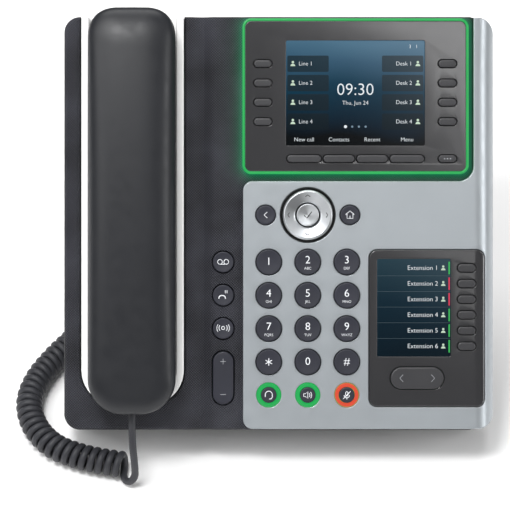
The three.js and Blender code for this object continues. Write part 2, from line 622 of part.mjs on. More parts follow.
// ---- Curly cord ----
// Routes are points [x, y, z] of the centreline on the table, hand placed.
const CURL_HEIGHT = CURL_DIAMETER / 2 + 0.1;
const leadRoute = [
  [-74.4, 1.3, 39], [-74.4, -5.5, 32.2], [-74, -10.8, 25.5], [-73.4, -13.2, 18], [-73.2, -13.4, 11],
  [-73.8, -12.2, 5.6], [-75.4, -10.6, 2.8], [-77.2, -9.2, 2.1],
];
const curlRoute = [
  [-79, -5.4], [-91.5, -2.8], [-103.5, 1], [-115, 7.2], [-123.5, 17.2], [-128.4, 29.4], [-129, 42],
  [-125, 55.7], [-117.5, 69], [-108.5, 81.5], [-99, 93.5], [-90.5, 106.5], [-84.5, 119], [-81.8, 132],
  [-84.6, 145], [-93, 154.5], [-105, 157.5],
].map(([x, y]) => [x, y, CURL_HEIGHT]);
const tailRoute = [
  [-78, 73.75, 41.34], [-78, 80.75, 34.34], [-82, 93, 27], [-90, 106, 22.6], [-98, 118, 17.6],
  [-105, 129, 11], [-109, 138.6, 5], [-110.6, 146, 2.3], [-110.2, 152.4, 2.1], [-107.6, 156.6, 2.1],
];

function tube(route, diameter, sides, steps) {
  const points = route.map((point) => new THREE.Vector3(...point));
  const curve = new THREE.CatmullRomCurve3(points, false, 'centripetal');
  const section = new THREE.Shape();
  for (let side = 0; side < sides; side += 1) {
    const angle = (side / sides) * 2 * Math.PI;
    const [x, y] = [Math.cos(angle) * diameter / 2, Math.sin(angle) * diameter / 2];
    if (side === 0) section.moveTo(x, y);
    else section.lineTo(x, y);
  }
  return new THREE.ExtrudeGeometry(section, { steps, extrudePath: curve });
}
piece('cord_lead', tube(leadRoute, CORD_DIAMETER, 8, 16), 'rubber', table);
piece('cord_curl', tube(curlRoute, CURL_DIAMETER, 10, 38), 'rubber', table);
piece('cord_tail', tube(tailRoute, CORD_DIAMETER, 8, 14), 'rubber', table);

// The origin is under the middle of the phone's footprint, cord apart.
const CORD_PIECES = ['cord_lead', 'cord_curl', 'cord_tail', 'cord_plug_base', 'cord_plug_handset'];
phone.updateMatrixWorld(true);
const footprint = new THREE.Box3();
phone.traverse((object) => {
  if (object.isMesh && !CORD_PIECES.includes(object.name)) footprint.expandByObject(object, true);
});
const centre = footprint.getCenter(new THREE.Vector3());
phone.position.set(-centre.x, -centre.y, -footprint.min.z);

const model = new THREE.Group();
model.add(phone);

export default model;
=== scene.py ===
"""Desk IP phone: the looks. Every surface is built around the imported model, in its own frame, in metres.

Shapes on the body are drawn in the face frame, in millimetres: x to the right across the face, y up along the
face from its lower edge, z out of the face. in_row() turns that frame into the model's own.
"""
import math

import bmesh
import bpy
from mathutils import Matrix, Vector
from mathutils.geometry import tessellate_polygon


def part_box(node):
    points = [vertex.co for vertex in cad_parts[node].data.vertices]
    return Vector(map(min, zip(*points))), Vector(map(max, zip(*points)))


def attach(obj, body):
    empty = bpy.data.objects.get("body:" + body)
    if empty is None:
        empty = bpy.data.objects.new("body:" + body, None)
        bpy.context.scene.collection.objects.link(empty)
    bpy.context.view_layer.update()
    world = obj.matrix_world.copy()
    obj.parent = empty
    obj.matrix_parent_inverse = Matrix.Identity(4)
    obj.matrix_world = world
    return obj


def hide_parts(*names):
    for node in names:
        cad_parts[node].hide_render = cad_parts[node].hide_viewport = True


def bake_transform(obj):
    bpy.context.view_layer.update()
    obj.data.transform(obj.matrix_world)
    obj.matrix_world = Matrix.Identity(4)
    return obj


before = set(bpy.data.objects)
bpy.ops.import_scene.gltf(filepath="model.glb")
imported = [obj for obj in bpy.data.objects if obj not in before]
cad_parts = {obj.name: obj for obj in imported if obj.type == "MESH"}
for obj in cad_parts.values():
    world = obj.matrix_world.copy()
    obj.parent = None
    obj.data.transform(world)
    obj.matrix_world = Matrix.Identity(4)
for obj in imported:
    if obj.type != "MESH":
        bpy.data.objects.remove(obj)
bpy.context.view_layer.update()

# ---- The face frame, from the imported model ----
MM = 0.001
TILT = math.radians(45)
GAP = 0.3  # clearance round a key, in millimetres
REAR_DEPTH = {"front": -20.3, "back": -34}  # the rear housing's front edge and back face
rear_low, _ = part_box("rear_housing")
FACE_ORIGIN = Vector((
    0,
    rear_low.y + REAR_DEPTH["front"] * MM * math.sin(TILT),
    rear_low.z - REAR_DEPTH["back"] * MM * math.cos(TILT),
))
FACE = Matrix.Translation(FACE_ORIGIN) @ Matrix.Rotation(TILT, 4, "X") @ Matrix.Scale(MM, 4)
NORMAL = Vector((0, -math.sin(TILT), math.cos(TILT)))

# ---- Driving sizes, in the face frame ----
BODY = {"width": 218.5, "height": 210, "corner": 8}
HALF_WIDTH = BODY["width"] / 2
PLATE = {"left": -18.3, "foot": 0.6, "head": 126.5, "top": 1.2, "bottom": -1.1, "roll": 10, "side": -19.7}
RAIL_LEFT = 98.7
HOUSING_TOP = -1.4
PANEL = {"x": 38.8, "y": 169.5, "width": 114.8, "height": 79, "corner": 4.5}
PANEL_TOP = 3.4
RING_WIDTH = 1.3
SCREEN = {"x": 38.7, "y": 171, "width": 70, "height": 53}
SIDE_PANEL = {"x": 75.1, "y": 51.7, "width": 58.6, "height": 79.4, "corner": 4}
SIDE_PANEL_TOP = 1.9
SIDE_SCREEN = {"x": 68.45, "y": 62.1, "width": 37, "height": 49.3}
LINE_KEY = {"width": 9.2, "height": 3.7, "pitch": 9.8, "top": 185.9}
LINE_COLUMNS = {"left": -8.2, "right": 85.4}
SIDE_KEY = {"x": 95.2, "top": 82.3, "pitch": 7.94, "count": 6, "width": 9.3, "height": 4}
DIAL = {"x": 14.6, "top": 85.3, "pitch_x": 19.8, "pitch_y": 16.9, "radius": 6.4}
NAV = {"x": DIAL["x"], "y": 109.2, "rim": 14.1, "ring": 12.8, "hole": 6.3, "select": 5.7, "keys": 21.4}
LAMP = {"y": 17.8, "key": 4, "ring": 6}
LEFT_X = -28.4
CRADLE = {"x": -74.4, "width": 52, "foot": 12.5, "corner": 18, "top": 0.4, "floor": -10.5, "back": -13,
          "wall": 3.9}
HANDSET = {"foot": 8.6, "head": 213.8, "width": 44.2, "top": 27, "split": 10, "chin": 17.5, "brow": 16.5}
VALLEY = {"x": -39, "half": 6.5, "depth": 2.2}  # between the cradle and the displays
LEDGE = {"right": 106.6, "top": -7.8}  # under the faceplate's rolled side
CORD_DIAMETER = 3.8
CURL_DIAMETER = 14
CURL_PITCH = 4.45
LEFT_KEY_RADIUS, NAV_KEY_RADIUS = 5.3, 4.9
VOLUME_KEY = {"x": LEFT_X, "y": 26.4, "width": 10.6, "height": 27}
PAGE_KEY = {"x": 70.1, "y": 26.4, "width": 27.1, "height": 11.1}
SOFT_KEY = {"y": 137.7, "height": 3.7, "gap": 1, "first": 4, "widths": (17.4, 15.9, 15.9, 17.4)}
KEY_TOPS = {"dial": 2.6, "nav": 2.2, "lamp": 2.1, "left": -0.4, "panel": 4.3, "side": 2.7, "page": 2.9,
            "volume": -0.2}
EAR_SIDE = [  # (place up the face, depth) along the side of the handset that faces the head
    (10.5, 3), (14, 2.6), (20, -6), (25, -8.8), (44, -8.8), (72, 3), (146, 3), (166, -8.8), (203, -8.8),
    (211, -4),
]
HOUSING = {"right": 98.9, "back": -20, "edge": 1.8, "wall": 2.4}
CORE = {"left": 98.5, "notch": 100.6, "low": 36, "high": 90, "back": -7.6}  # fills the faceplate's roll
SOUND_HOLES = {"pitch": 2.8, "radius": 0.9, "ear": 185, "mouth": 34, "rows": 5}


# ---- Meshes ----
def placed(name, data):
    made = bpy.data.objects.new(name, data)
    bpy.context.scene.collection.objects.link(made)
    return made


def in_row(mesh, matrix=FACE):
    mesh.transform(matrix)
    mesh.update()
    return mesh


def keep(name, mesh, material, body="root", replaces=(), smooth_angle=32, flat_faces=True):
    """Makes a piece from a mesh that is already in the row frame; its flat faces keep their shading flat."""
    piece = placed(name, mesh)
    mesh.materials.clear()
    mesh.materials.append(material)
    clean = bmesh.new()
    clean.from_mesh(mesh)
    bmesh.ops.remove_doubles(clean, verts=clean.verts, dist=2e-6)
    bmesh.ops.recalc_face_normals(clean, faces=clean.faces)
    for face in clean.faces:
        face.smooth = True
    for edge in clean.edges:
        edge.smooth = not (edge.is_manifold and edge.calc_face_angle(0) > math.radians(smooth_angle))
    clean.to_mesh(mesh)
    clean.free()
    if flat_faces:
        weighted = piece.modifiers.new("weighted_normals", "WEIGHTED_NORMAL")
        weighted.keep_sharp = True
        weighted.weight = 100
    if body:
        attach(piece, body)
    if replaces:
        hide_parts(*([replaces] if isinstance(replaces, str) else replaces))
    return piece


def merged(*meshes):
    both = bmesh.new()
    for mesh in meshes:
        both.from_mesh(mesh)
    joined = bpy.data.meshes.new("joined")
    both.to_mesh(joined)
    both.free()
    return joined


def from_faces(points, faces):
    mesh = bpy.data.meshes.new("faces")
    mesh.from_pydata([tuple(point) for point in points], [], faces)
    return mesh


def arc(cx, cy, radius, start, end, steps=8):
    return [
        (cx + radius * math.cos(math.radians(start + (end - start) * i / steps)),
         cy + radius * math.sin(math.radians(start + (end - start) * i / steps)))
        for i in range(steps + 1)
    ]


def rounded(x, y, width, height, radius, steps=8):
    dx, dy = width / 2 - radius, height / 2 - radius
    return (
        arc(x + dx, y - dy, radius, -90, 0, steps) + arc(x + dx, y + dy, radius, 0, 90, steps)
        + arc(x - dx, y + dy, radius, 90, 180, steps) + arc(x - dx, y - dy, radius, 180, 270, steps)
    )


def grown(box, by):
    corner = max(box.get("corner", 0.6) + by, 0.3)
    return rounded(box["x"], box["y"], box["width"] + 2 * by, box["height"] + 2 * by, corner)


def capsule(x, y, width, height):
    return rounded(x, y, width, height, min(width, height) / 2 - 0.01)


def circle(x, y, radius, steps=64):
    return arc(x, y, radius, 0, 360 - 360 / steps, steps - 1)


def offset(outline, by):
    """The outline moved inwards by a distance, corner by corner; it runs anticlockwise."""
    points = [Vector(point) for point in outline]
    moved = []
    for i, point in enumerate(points):
        before = (point - points[i - 1]).normalized()
        after = (points[(i + 1) % len(points)] - point).normalized()
        inward = Vector((-before.y - after.y, before.x + after.x)).normalized()
        share = max(0.35, inward.dot(Vector((-before.y, before.x))))
        moved.append(tuple(point + inward * (by / share)))
    return moved


def cleaned(outline):
    """The outline without repeated points, running anticlockwise."""
    kept = [p for i, p in enumerate(outline) if math.dist(p, outline[i - 1]) > 1e-3]
    area = sum(kept[i - 1][0] * p[1] - p[0] * kept[i - 1][1] for i, p in enumerate(kept))
    return kept if area > 0 else kept[::-1]


def quarter(edge, steps=4):
    """(inset, drop) pairs of a rounded edge, from the wall up to the flat."""
    angles = [math.radians(90 * i / steps) for i in range(steps + 1)]
    return [(edge * (1 - math.cos(a)), edge * (1 - math.sin(a))) for a in angles]


def panel(outline, bottom, top, holes=(), edge=0.4, hole_edge=None, wall=None):
    """A closed slab with holes and a rounded front edge; with a wall it is a hollow shell, open behind."""
    hole_edge = min(edge, 0.4) if hole_edge is None else hole_edge
    outside = cleaned(outline)
    insides = [cleaned(hole) for hole in holes]
    ceiling = top - wall if wall else bottom
    points, faces = [], []

    def add(ring, depth):
        points.extend((x, y, depth) for x, y in ring)
        return list(range(len(points) - len(ring), len(points)))

    def join_rings(low, high):
        faces.extend((low[i - 1], low[i], high[i], high[i - 1]) for i in range(len(low)))

    def cap(rings):
        flat = [index for ring in rings for index in ring]
        filled = tessellate_polygon([[Vector(points[index]) for index in ring] for ring in rings])
        faces.extend(tuple(flat[corner] for corner in triangle) for triangle in filled)

    def walls(ring, base, rounding, sign):
        last = first = add(ring, base)
        for inset, drop in quarter(rounding):
            row = add(offset(ring, sign * inset), top - drop)
            join_rings(last, row)
            last = row
        return first, last

    outer_base, outer_top = walls(outside, bottom, edge, 1)
    hole_rings = [walls(hole, ceiling, hole_edge, -1) for hole in insides]
    cap([outer_top] + [ring[1] for ring in hole_rings])
    if wall:
        rim = add(offset(outside, wall), bottom)
        roof = add(offset(outside, wall), ceiling)
        join_rings(outer_base, rim)
        join_rings(rim, roof)
        outer_base = roof
    cap([outer_base] + [ring[0] for ring in hole_rings])
    return from_faces(points, faces)


def turned(x, y, profile, segments=64):
    """A closed solid turned about the face normal; profile is (radius, depth), from the axis out and back."""
    points, faces, rows = [], [], []
    for radius, depth in profile:
        if radius < 1e-6:
            rows.append([len(points)] * segments)
            points.append((x, y, depth))
            continue
        rows.append(list(range(len(points), len(points) + segments)))
        points += [
            (x + radius * math.cos(2 * math.pi * i / segments),
             y + radius * math.sin(2 * math.pi * i / segments), depth)
            for i in range(segments)
        ]
    for low, high in zip(rows, rows[1:]):
        for i in range(segments):
            j = (i + 1) % segments
            corners = list(dict.fromkeys((low[i], low[j], high[j], high[i])))
            if len(corners) > 2:
                faces.append(corners)
    return from_faces(points, faces)


def soft_profile(radius, bottom, top, edge, dish=0.0):
    """The profile of a round cap with a rounded rim and, if asked, a dished top."""
    rim = [
        (radius - edge + edge * math.cos(math.radians(a)), top - edge + edge * math.sin(math.radians(a)))
        for a in (0, 22, 45, 67, 90)
    ]
    inner = [
        ((radius - edge) * share, top - dish * (1 - share * share))
        for share in (0.8, 0.6, 0.4, 0.2)
    ]
    return [(0, bottom), (radius, bottom), *rim, *inner, (0, top - dish)]


def loft(rings, close_ends=True):
    count = len(rings[0])
    points = [point for ring in rings for point in ring]
    faces = []
    for row in range(len(rings) - 1):
        for i in range(count):
            j = (i + 1) % count
            faces.append((row * count + i, row * count + j, (row + 1) * count + j, (row + 1) * count + i))
    if close_ends:
        faces.append(tuple(range(count))[::-1])
        faces.append(tuple(range((len(rings) - 1) * count, len(rings) * count)))
    return from_faces(points, faces)


def tube(points, radius, sides=10):
    """A closed tube along points, its section carried along without twist."""
    line = [Vector(point) for point in points]
    tangents = []
    for i in range(len(line)):
        ahead, behind = line[min(i + 1, len(line) - 1)], line[max(i - 1, 0)]
        tangents.append((ahead - behind).normalized())
    side = tangents[0].orthogonal().normalized()
    rings = []
    for point, tangent in zip(line, tangents):
        side = (side - tangent * side.dot(tangent)).normalized()
        other = tangent.cross(side)
        rings.append([
            point + radius * (math.cos(angle) * side + math.sin(angle) * other)
            for angle in (2 * math.pi * k / sides for k in range(sides))
        ])
    return loft(rings)


def strokes(lines, height, thickness=0.36):
    """Thin raised lines for a symbol on a key: each line is a list of (x, y)."""
    return merged(*[
        tube([(x, y, height) for x, y in line], thickness / 2, 8) for line in lines
    ])


def lettering(text, x, y, size, height, thickness=0.08, align="CENTER"):
    """Flat raised lettering in Blender's own font, centred on a point of the face."""
    curve = bpy.data.curves.new("text", "FONT")
    curve.body = text
    curve.size = size
    curve.align_x = align
    curve.align_y = "CENTER"
    curve.extrude = thickness / 2
    curve.offset = -0.009 * size
    curve.resolution_u = 3
    holder = placed("text", curve)
    mesh = bpy.data.meshes.new_from_object(holder.evaluated_get(bpy.context.evaluated_depsgraph_get()))
    bpy.data.objects.remove(holder)
    bpy.data.curves.remove(curve)
    mesh.transform(Matrix.Translation((x, y, height)))
    return mesh


# ---- Materials ----
def new_material(name):
    material = bpy.data.materials.new(name)
    material.use_nodes = True
    return material, material.node_tree, material.node_tree.nodes["Principled BSDF"]


def face_coordinates(tree):
    """The point being shaded, in the face frame, in metres."""
    where = tree.nodes.new("ShaderNodeTexCoord")
    turn = tree.nodes.new("ShaderNodeMapping")
    turn.vector_type = "TEXTURE"
    turn.inputs["Location"].default_value = FACE_ORIGIN
    turn.inputs["Rotation"].default_value = (TILT, 0, 0)
    tree.links.new(where.outputs["Object"], turn.inputs["Vector"])
    return turn.outputs["Vector"]


def noise(tree, vector, scale, detail=4):
    texture = tree.nodes.new("ShaderNodeTexNoise")
    texture.inputs["Scale"].default_value = scale
    texture.inputs["Detail"].default_value = detail
    tree.links.new(vector, texture.inputs["Vector"])
    return texture.outputs["Fac"]


def ramp(tree, value, stops):
    """A colour ramp; stops are (position, colour)."""
    made = tree.nodes.new("ShaderNodeValToRGB")
    elements = made.color_ramp.elements
    while len(elements) < len(stops):
        elements.new(0.5)
    for element, (position, colour) in zip(elements, stops):
        element.position = position
        element.color = (*colour, 1)
    tree.links.new(value, made.inputs["Fac"])
    return made.outputs["Color"]


def bump(tree, shader, height, strength, distance):
    made = tree.nodes.new("ShaderNodeBump")
    made.inputs["Strength"].default_value = strength
    made.inputs["Distance"].default_value = distance
    tree.links.new(height, made.inputs["Height"])
    tree.links.new(made.outputs["Normal"], shader.inputs["Normal"])


def shade(colour, factor):
    return tuple(min(1, channel * factor) for channel in colour)


def moulded(name, colour, roughness, grain=2600, depth=0.00002, variation=0.1, coat=0.0, metallic=0.0,
            specular=0.5):
    """Moulded plastic: a fine spark-eroded grain, and slow changes of tone and gloss."""
    material, tree, shader = new_material(name)
    where = face_coordinates(tree)
    slow = noise(tree, where, 45, 3)
    tone = ramp(tree, slow, [(0.3, shade(colour, 1 - variation)), (0.7, shade(colour, 1 + variation))])
    tree.links.new(tone, shader.inputs["Base Color"])
    low, high = roughness * 0.88, min(1, roughness * 1.12)
    gloss = ramp(tree, noise(tree, where, 160, 5), [(0.3, (low,) * 3), (0.7, (high,) * 3)])
    tree.links.new(gloss, shader.inputs["Roughness"])
    shader.inputs["Coat Weight"].default_value = coat
    shader.inputs["Coat Roughness"].default_value = 0.08
    shader.inputs["Metallic"].default_value = metallic
    shader.inputs["Specular IOR Level"].default_value = specular
    bump(tree, shader, noise(tree, where, grain, 2), 0.35, depth)
    return material


def maths(tree, operation, *values):
    made = tree.nodes.new("ShaderNodeMath")
    made.operation = operation
    for socket, value in zip(made.inputs, values):
        if hasattr(value, "links"):
            tree.links.new(value, socket)
        else:
            socket.default_value = value
    return made.outputs["Value"]


def dot_grid(tree, vector, pitch_x, pitch_y, phase):
    """Height of one lattice of round dots: 1 at each centre, 0 between them."""
    split = tree.nodes.new("ShaderNodeSeparateXYZ")
    tree.links.new(vector, split.inputs["Vector"])
    offsets = []
    for axis, pitch in (("X", pitch_x), ("Y", pitch_y)):
        cells = maths(tree, "MULTIPLY_ADD", split.outputs[axis], 1 / pitch, phase)
        inside = maths(tree, "SUBTRACT", maths(tree, "FRACT", cells), 0.5)
        offsets.append(maths(tree, "MULTIPLY", inside, pitch / pitch_y))
    squares = [maths(tree, "MULTIPLY", offset, offset) for offset in offsets]
    away = maths(tree, "SQRT", maths(tree, "ADD", *squares))
    return maths(tree, "MAXIMUM", maths(tree, "MULTIPLY_ADD", away, -2.6, 1.0), 0.0)


def dotted_plastic(name, colour):
    """The housing's skin: rows of small raised dots, each row half a pitch along from the last, their tops
    painted lighter as a painted highlight.
    """
    material, tree, shader = new_material(name)
    where = face_coordinates(tree)
    pitch_x, pitch_y = 1.35 * MM, 1.35 * MM
    first = dot_grid(tree, where, pitch_x, pitch_y, 0.0)
    second = dot_grid(tree, where, pitch_x, pitch_y, 0.5)
    on_face = near_face(tree)
    dots = maths(tree, "MULTIPLY", on_face, maths(tree, "MAXIMUM", first, second))
    slow = noise(tree, where, 40, 3)
    # Painted highlight: the dots are painted much lighter than the plastic between them, as their tops would
    # look in the light; the slow noise adds a random tone.
    painted_dot_highlight_and_tone = maths(tree, "MULTIPLY_ADD", dots, 0.45, maths(tree, "MULTIPLY", slow, 0.5))
    tone = ramp(tree, painted_dot_highlight_and_tone, [(0.2, shade(colour, 0.22)), (0.62, shade(colour, 3.4))])
    tree.links.new(tone, shader.inputs["Base Color"])
    shader.inputs["Roughness"].default_value = 0.5
    shader.inputs["Specular IOR Level"].default_value = 0.26
    bump(tree, shader, dots, 1.0, 0.0004)
    ring_light(tree, shader, where, on_face)
    return material


def near_face(tree):
    """1 on the housing's face and 0 on its side walls, by the way the surface turns."""
    texture = tree.nodes.new("ShaderNodeTexCoord")
    along = tree.nodes.new("ShaderNodeVectorMath")
    along.operation = "DOT_PRODUCT"
    tree.links.new(texture.outputs["Normal"], along.inputs[0])
    along.inputs[1].default_value = NORMAL
    above = maths(tree, "MULTIPLY_ADD", along.outputs["Value"], 8, -5.4)
    return maths(tree, "MINIMUM", 1.0, maths(tree, "MAXIMUM", 0.0, above))


def ring_light(tree, shader, where, on_face):
    """The green light that the display's ring throws on the housing beside it."""
    split = tree.nodes.new("ShaderNodeSeparateXYZ")
    tree.links.new(where, split.inputs["Vector"])
    corner = PANEL["corner"] * MM
    beyond = []
    for axis, middle, size in (("X", PANEL["x"], PANEL["width"]), ("Y", PANEL["y"], PANEL["height"])):
        away = maths(tree, "ABSOLUTE", maths(
            tree, "SUBTRACT", split.outputs[axis], middle * MM))
        past = maths(tree, "SUBTRACT", away, size / 2 * MM - corner)
        clipped = maths(tree, "MAXIMUM", past, 0.0)
        beyond.append(maths(tree, "MULTIPLY", clipped, clipped))
    distance = maths(tree, "SUBTRACT", maths(
        tree, "SQRT", maths(tree, "ADD", *beyond)), corner)
    falling = maths(tree, "POWER", math.e, maths(
        tree, "MULTIPLY", maths(tree, "MAXIMUM", distance, 0.0), -1 / 0.0022))
    shader.inputs["Emission Color"].default_value = (0.0, 0.42, 0.17, 1)
    strength = maths(tree, "MULTIPLY", falling, 0.36)
    tree.links.new(maths(tree, "MULTIPLY", strength, on_face), shader.inputs["Emission Strength"])


def glowing(name, colour, strength, base=(0.006, 0.006, 0.006)):
    """A lit light guide: it glows a little unevenly along its length."""
    material, tree, shader = new_material(name)
    where = face_coordinates(tree)
    uneven = noise(tree, where, 30, 2)
    tone = ramp(tree, uneven, [(0.3, shade(colour, 0.86)), (0.7, colour)])
    tree.links.new(tone, shader.inputs["Emission Color"])
    tree.links.new(ramp(tree, uneven, [(0.3, base), (0.7, shade(base, 1.2))]), shader.inputs["Base Color"])
    shader.inputs["Emission Strength"].default_value = strength
    shader.inputs["Roughness"].default_value = 0.3
    return material


def lit_screen(name, low_y, high_y, stops, strength):
    """A lit picture that changes from the foot of the screen to its top, with a soft drift in it."""
    material, tree, shader = new_material(name)
    where = face_coordinates(tree)
    split = tree.nodes.new("ShaderNodeSeparateXYZ")
    tree.links.new(where, split.inputs["Vector"])
    height = maths(tree, "SUBTRACT", split.outputs["Y"], low_y * MM)
    share = maths(tree, "DIVIDE", height, (high_y - low_y) * MM)
    drift = maths(tree, "MULTIPLY_ADD", noise(tree, where, 22, 1), 0.34, -0.17)
    tone = ramp(tree, maths(tree, "ADD", share, drift), stops)
    tree.links.new(tone, shader.inputs["Emission Color"])
    shader.inputs["Base Color"].default_value = (0.001, 0.0015, 0.002, 1)
    shader.inputs["Emission Strength"].default_value = strength
    shader.inputs["Roughness"].default_value = 0.12
    shader.inputs["Specular IOR Level"].default_value = 0.25
    return material


def brushed_metal_with_painted_sheen(name, colour):
    """Spun aluminium: fine rings round the navigation key's axis, and a painted sheen that is lighter in two
    opposite sectors round it.
    """
    material, tree, shader = new_material(name)
    where = face_coordinates(tree)
    centred = tree.nodes.new("ShaderNodeVectorMath")
    centred.operation = "SUBTRACT"
    centred.inputs[1].default_value = (NAV["x"] * MM, NAV["y"] * MM, 0)
    tree.links.new(where, centred.inputs[0])
    rings = tree.nodes.new("ShaderNodeTexWave")
    rings.wave_type = "RINGS"
    rings.rings_direction = "Z"
    rings.inputs["Scale"].default_value = 900
    rings.inputs["Distortion"].default_value = 0.6
    tree.links.new(centred.outputs["Vector"], rings.inputs["Vector"])
    around = tree.nodes.new("ShaderNodeTexGradient")
    around.gradient_type = "RADIAL"
    tree.links.new(centred.outputs["Vector"], around.inputs["Vector"])
    # Painted sheen: two opposite sectors round the axis are painted lighter and the sectors between them
    # darker, where the metal's highlights would fall.
    sweep = maths(tree, "SINE", maths(tree, "MULTIPLY", around.outputs["Fac"], 4 * math.pi))
    tone = ramp(tree, maths(tree, "MULTIPLY_ADD", sweep, 0.5, 0.5),
                [(0.1, shade(colour, 0.62)), (0.9, shade(colour, 1.25))])
    tree.links.new(tone, shader.inputs["Base Color"])
    shader.inputs["Metallic"].default_value = 0.85
    shader.inputs["Roughness"].default_value = 0.34
    bump(tree, shader, rings.outputs["Fac"], 0.2, 0.00003)
    return material


HOUSING_SKIN = dotted_plastic("housing_dots", (0.0165, 0.017, 0.0215))
SMOOTH_DARK = moulded("handset_plastic", (0.015, 0.016, 0.019), 0.40, grain=3200, depth=0.000006,
                      variation=0.05, specular=0.34)
REAR_PLASTIC = moulded("rear_plastic", (0.022, 0.022, 0.026), 0.6, grain=1500, depth=0.00004, specular=0.35)
SILVER = moulded("silver_paint", (0.355, 0.383, 0.405), 0.36, grain=5200, depth=0.00001, variation=0.02,
                 metallic=0.5)
GLOSS = moulded("gloss_panel", (0.029, 0.029, 0.031), 0.13, grain=300, depth=0.000001, variation=0.04,
                coat=0.4)
KEY = moulded("key_plastic", (0.018, 0.019, 0.029), 0.46, grain=3800, depth=0.00003, variation=0.12,
              specular=0.4)
PANEL_KEY = moulded("panel_key_plastic", (0.034, 0.034, 0.037), 0.36, grain=3800, depth=0.00002,
                    specular=0.4)
WHITE = moulded("cradle_plastic", (0.90, 0.90, 0.89), 0.4, grain=3000, depth=0.00001, variation=0.02)
RUBBER = moulded("rubber", (0.014, 0.014, 0.015), 0.8, grain=1800, depth=0.00005, specular=0.3)
CORD = moulded("cord_rubber", (0.034, 0.035, 0.041), 0.5, grain=2200, depth=0.00001, specular=0.35)
BOARD = moulded("solder_mask", (0.02, 0.12, 0.05), 0.4, grain=900, depth=0.00002)
CLEAR = moulded("plug_plastic", (0.62, 0.64, 0.66), 0.15, grain=500, depth=0.000005, coat=0.4)
BLACK = moulded("black_plastic", (0.006, 0.006, 0.007), 0.3, grain=2000, depth=0.00001)
METAL = brushed_metal_with_painted_sheen("spun_aluminium_painted_sheen", (0.56, 0.58, 0.60))
MARK = moulded("white_print", (0.78, 0.80, 0.83), 0.5, grain=900, depth=0.000001, variation=0.02)
DIM_MARK = moulded("grey_print", (0.30, 0.31, 0.33), 0.5, grain=900, depth=0.000001, variation=0.02)
GREEN_GLOW = glowing("green_glow", (0.004, 0.44, 0.085), 1.0)
RED_GLOW = glowing("red_glow", (0.72, 0.065, 0.025), 1.1)
SCREEN_TEXT = glowing("screen_text", (0.82, 0.88, 0.92), 1.0)
STEEL = moulded("steel", (0.55, 0.56, 0.57), 0.35, grain=1200, depth=0.000005, variation=0.05, metallic=0.9)
PERSON = glowing("person_icon", (0.62, 0.80, 0.62), 0.9)
FAINT_DOT = glowing("faint_dot", (0.16, 0.26, 0.34), 1.0)
DIVIDER = glowing("row_divider", (0.05, 0.09, 0.11), 1.0)
RED_BAR = glowing("busy_bar", (0.75, 0.02, 0.08), 1.0)
GREEN_BAR = glowing("free_bar", (0.02, 0.5, 0.08), 1.0)
MAIN_PICTURE = lit_screen("main_picture", 144.5, 197.5, [
    (0.08, (0.0003, 0.0006, 0.001)), (0.2, (0.0005, 0.009, 0.020)), (0.55, (0.001, 0.034, 0.066)),
    (0.8, (0.028, 0.088, 0.150)), (1.0, (0.060, 0.150, 0.230))], 1.0)
SIDE_PICTURE = lit_screen("side_picture", 37.5, 86.8, [
    (0.0, (0.001, 0.007, 0.013)), (0.5, (0.003, 0.017, 0.030)), (1.0, (0.016, 0.044, 0.062))], 1.0)
TILE = lit_screen("screen_tile", 144.5, 197.5, [
    (0.0, (0.001, 0.003, 0.005)), (1.0, (0.012, 0.036, 0.055))], 1.0)


# ---- Camera, light and floor ----
PHOTO_SCALE = 0.508  # millimetres on the face for each of the 510 steps across the picture
PICTURE_CENTRE = (-12.2, 88.9)
CAMERA_DISTANCE = 1.9


def camera():
    data = bpy.data.cameras.new("camera")
    made = placed("camera", data)
    aim = FACE @ Vector((*PICTURE_CENTRE, 0))
    made.location = aim + NORMAL * CAMERA_DISTANCE
    made.rotation_mode = "QUATERNION"
    made.rotation_quaternion = NORMAL.to_track_quat("Z", "Y")
    data.sensor_width = 36
    data.lens = data.sensor_width * CAMERA_DISTANCE / (510 * PHOTO_SCALE * MM)
    data.clip_start, data.clip_end = 0.05, 50
    bpy.context.scene.camera = made


def area_light(name, width, height, power):
    data = bpy.data.lights.new(name, "AREA")
    data.shape = "RECTANGLE"
    data.size, data.size_y = width, height
    data.energy = power
    return placed(name, data)


def softbox(name, location, target, width, height, power):
    made = area_light(name, width, height, power)
    made.location = location
    made.rotation_mode = "QUATERNION"
    made.rotation_quaternion = (Vector(location) - Vector(target)).to_track_quat("Z", "Y")


def reflected_card(name, place, width, height, power):
    """A small slanted light beside the camera's axis, seen only as a sheen on the gloss panels."""
    made = area_light(name, width * MM, height * MM, power)
    slant = Matrix.Rotation(math.radians(-41.4), 4, "Z")
    here = Vector((PICTURE_CENTRE[0] + place[0], PICTURE_CENTRE[1] + place[1], CAMERA_DISTANCE / MM))
    made.matrix_world = Matrix.Translation(FACE @ here) @ Matrix.Rotation(TILT, 4, "X") @ slant


def white_world():
    """White to the camera, dimmer to everything else, so that dark plastics stay dark."""
    world = bpy.data.worlds.new("studio")
    world.use_nodes = True
    tree = world.node_tree
    background = tree.nodes["Background"]
    background.inputs["Color"].default_value = (1, 1, 1, 1)
    path = tree.nodes.new("ShaderNodeLightPath")
    seen = maths(tree, "MULTIPLY", path.outputs["Is Camera Ray"], 0.9)
    spread = maths(tree, "MULTIPLY_ADD", path.outputs["Is Diffuse Ray"], 0.22, 0.10)
    tree.links.new(maths(tree, "ADD", seen, spread), background.inputs["Strength"])
    return world


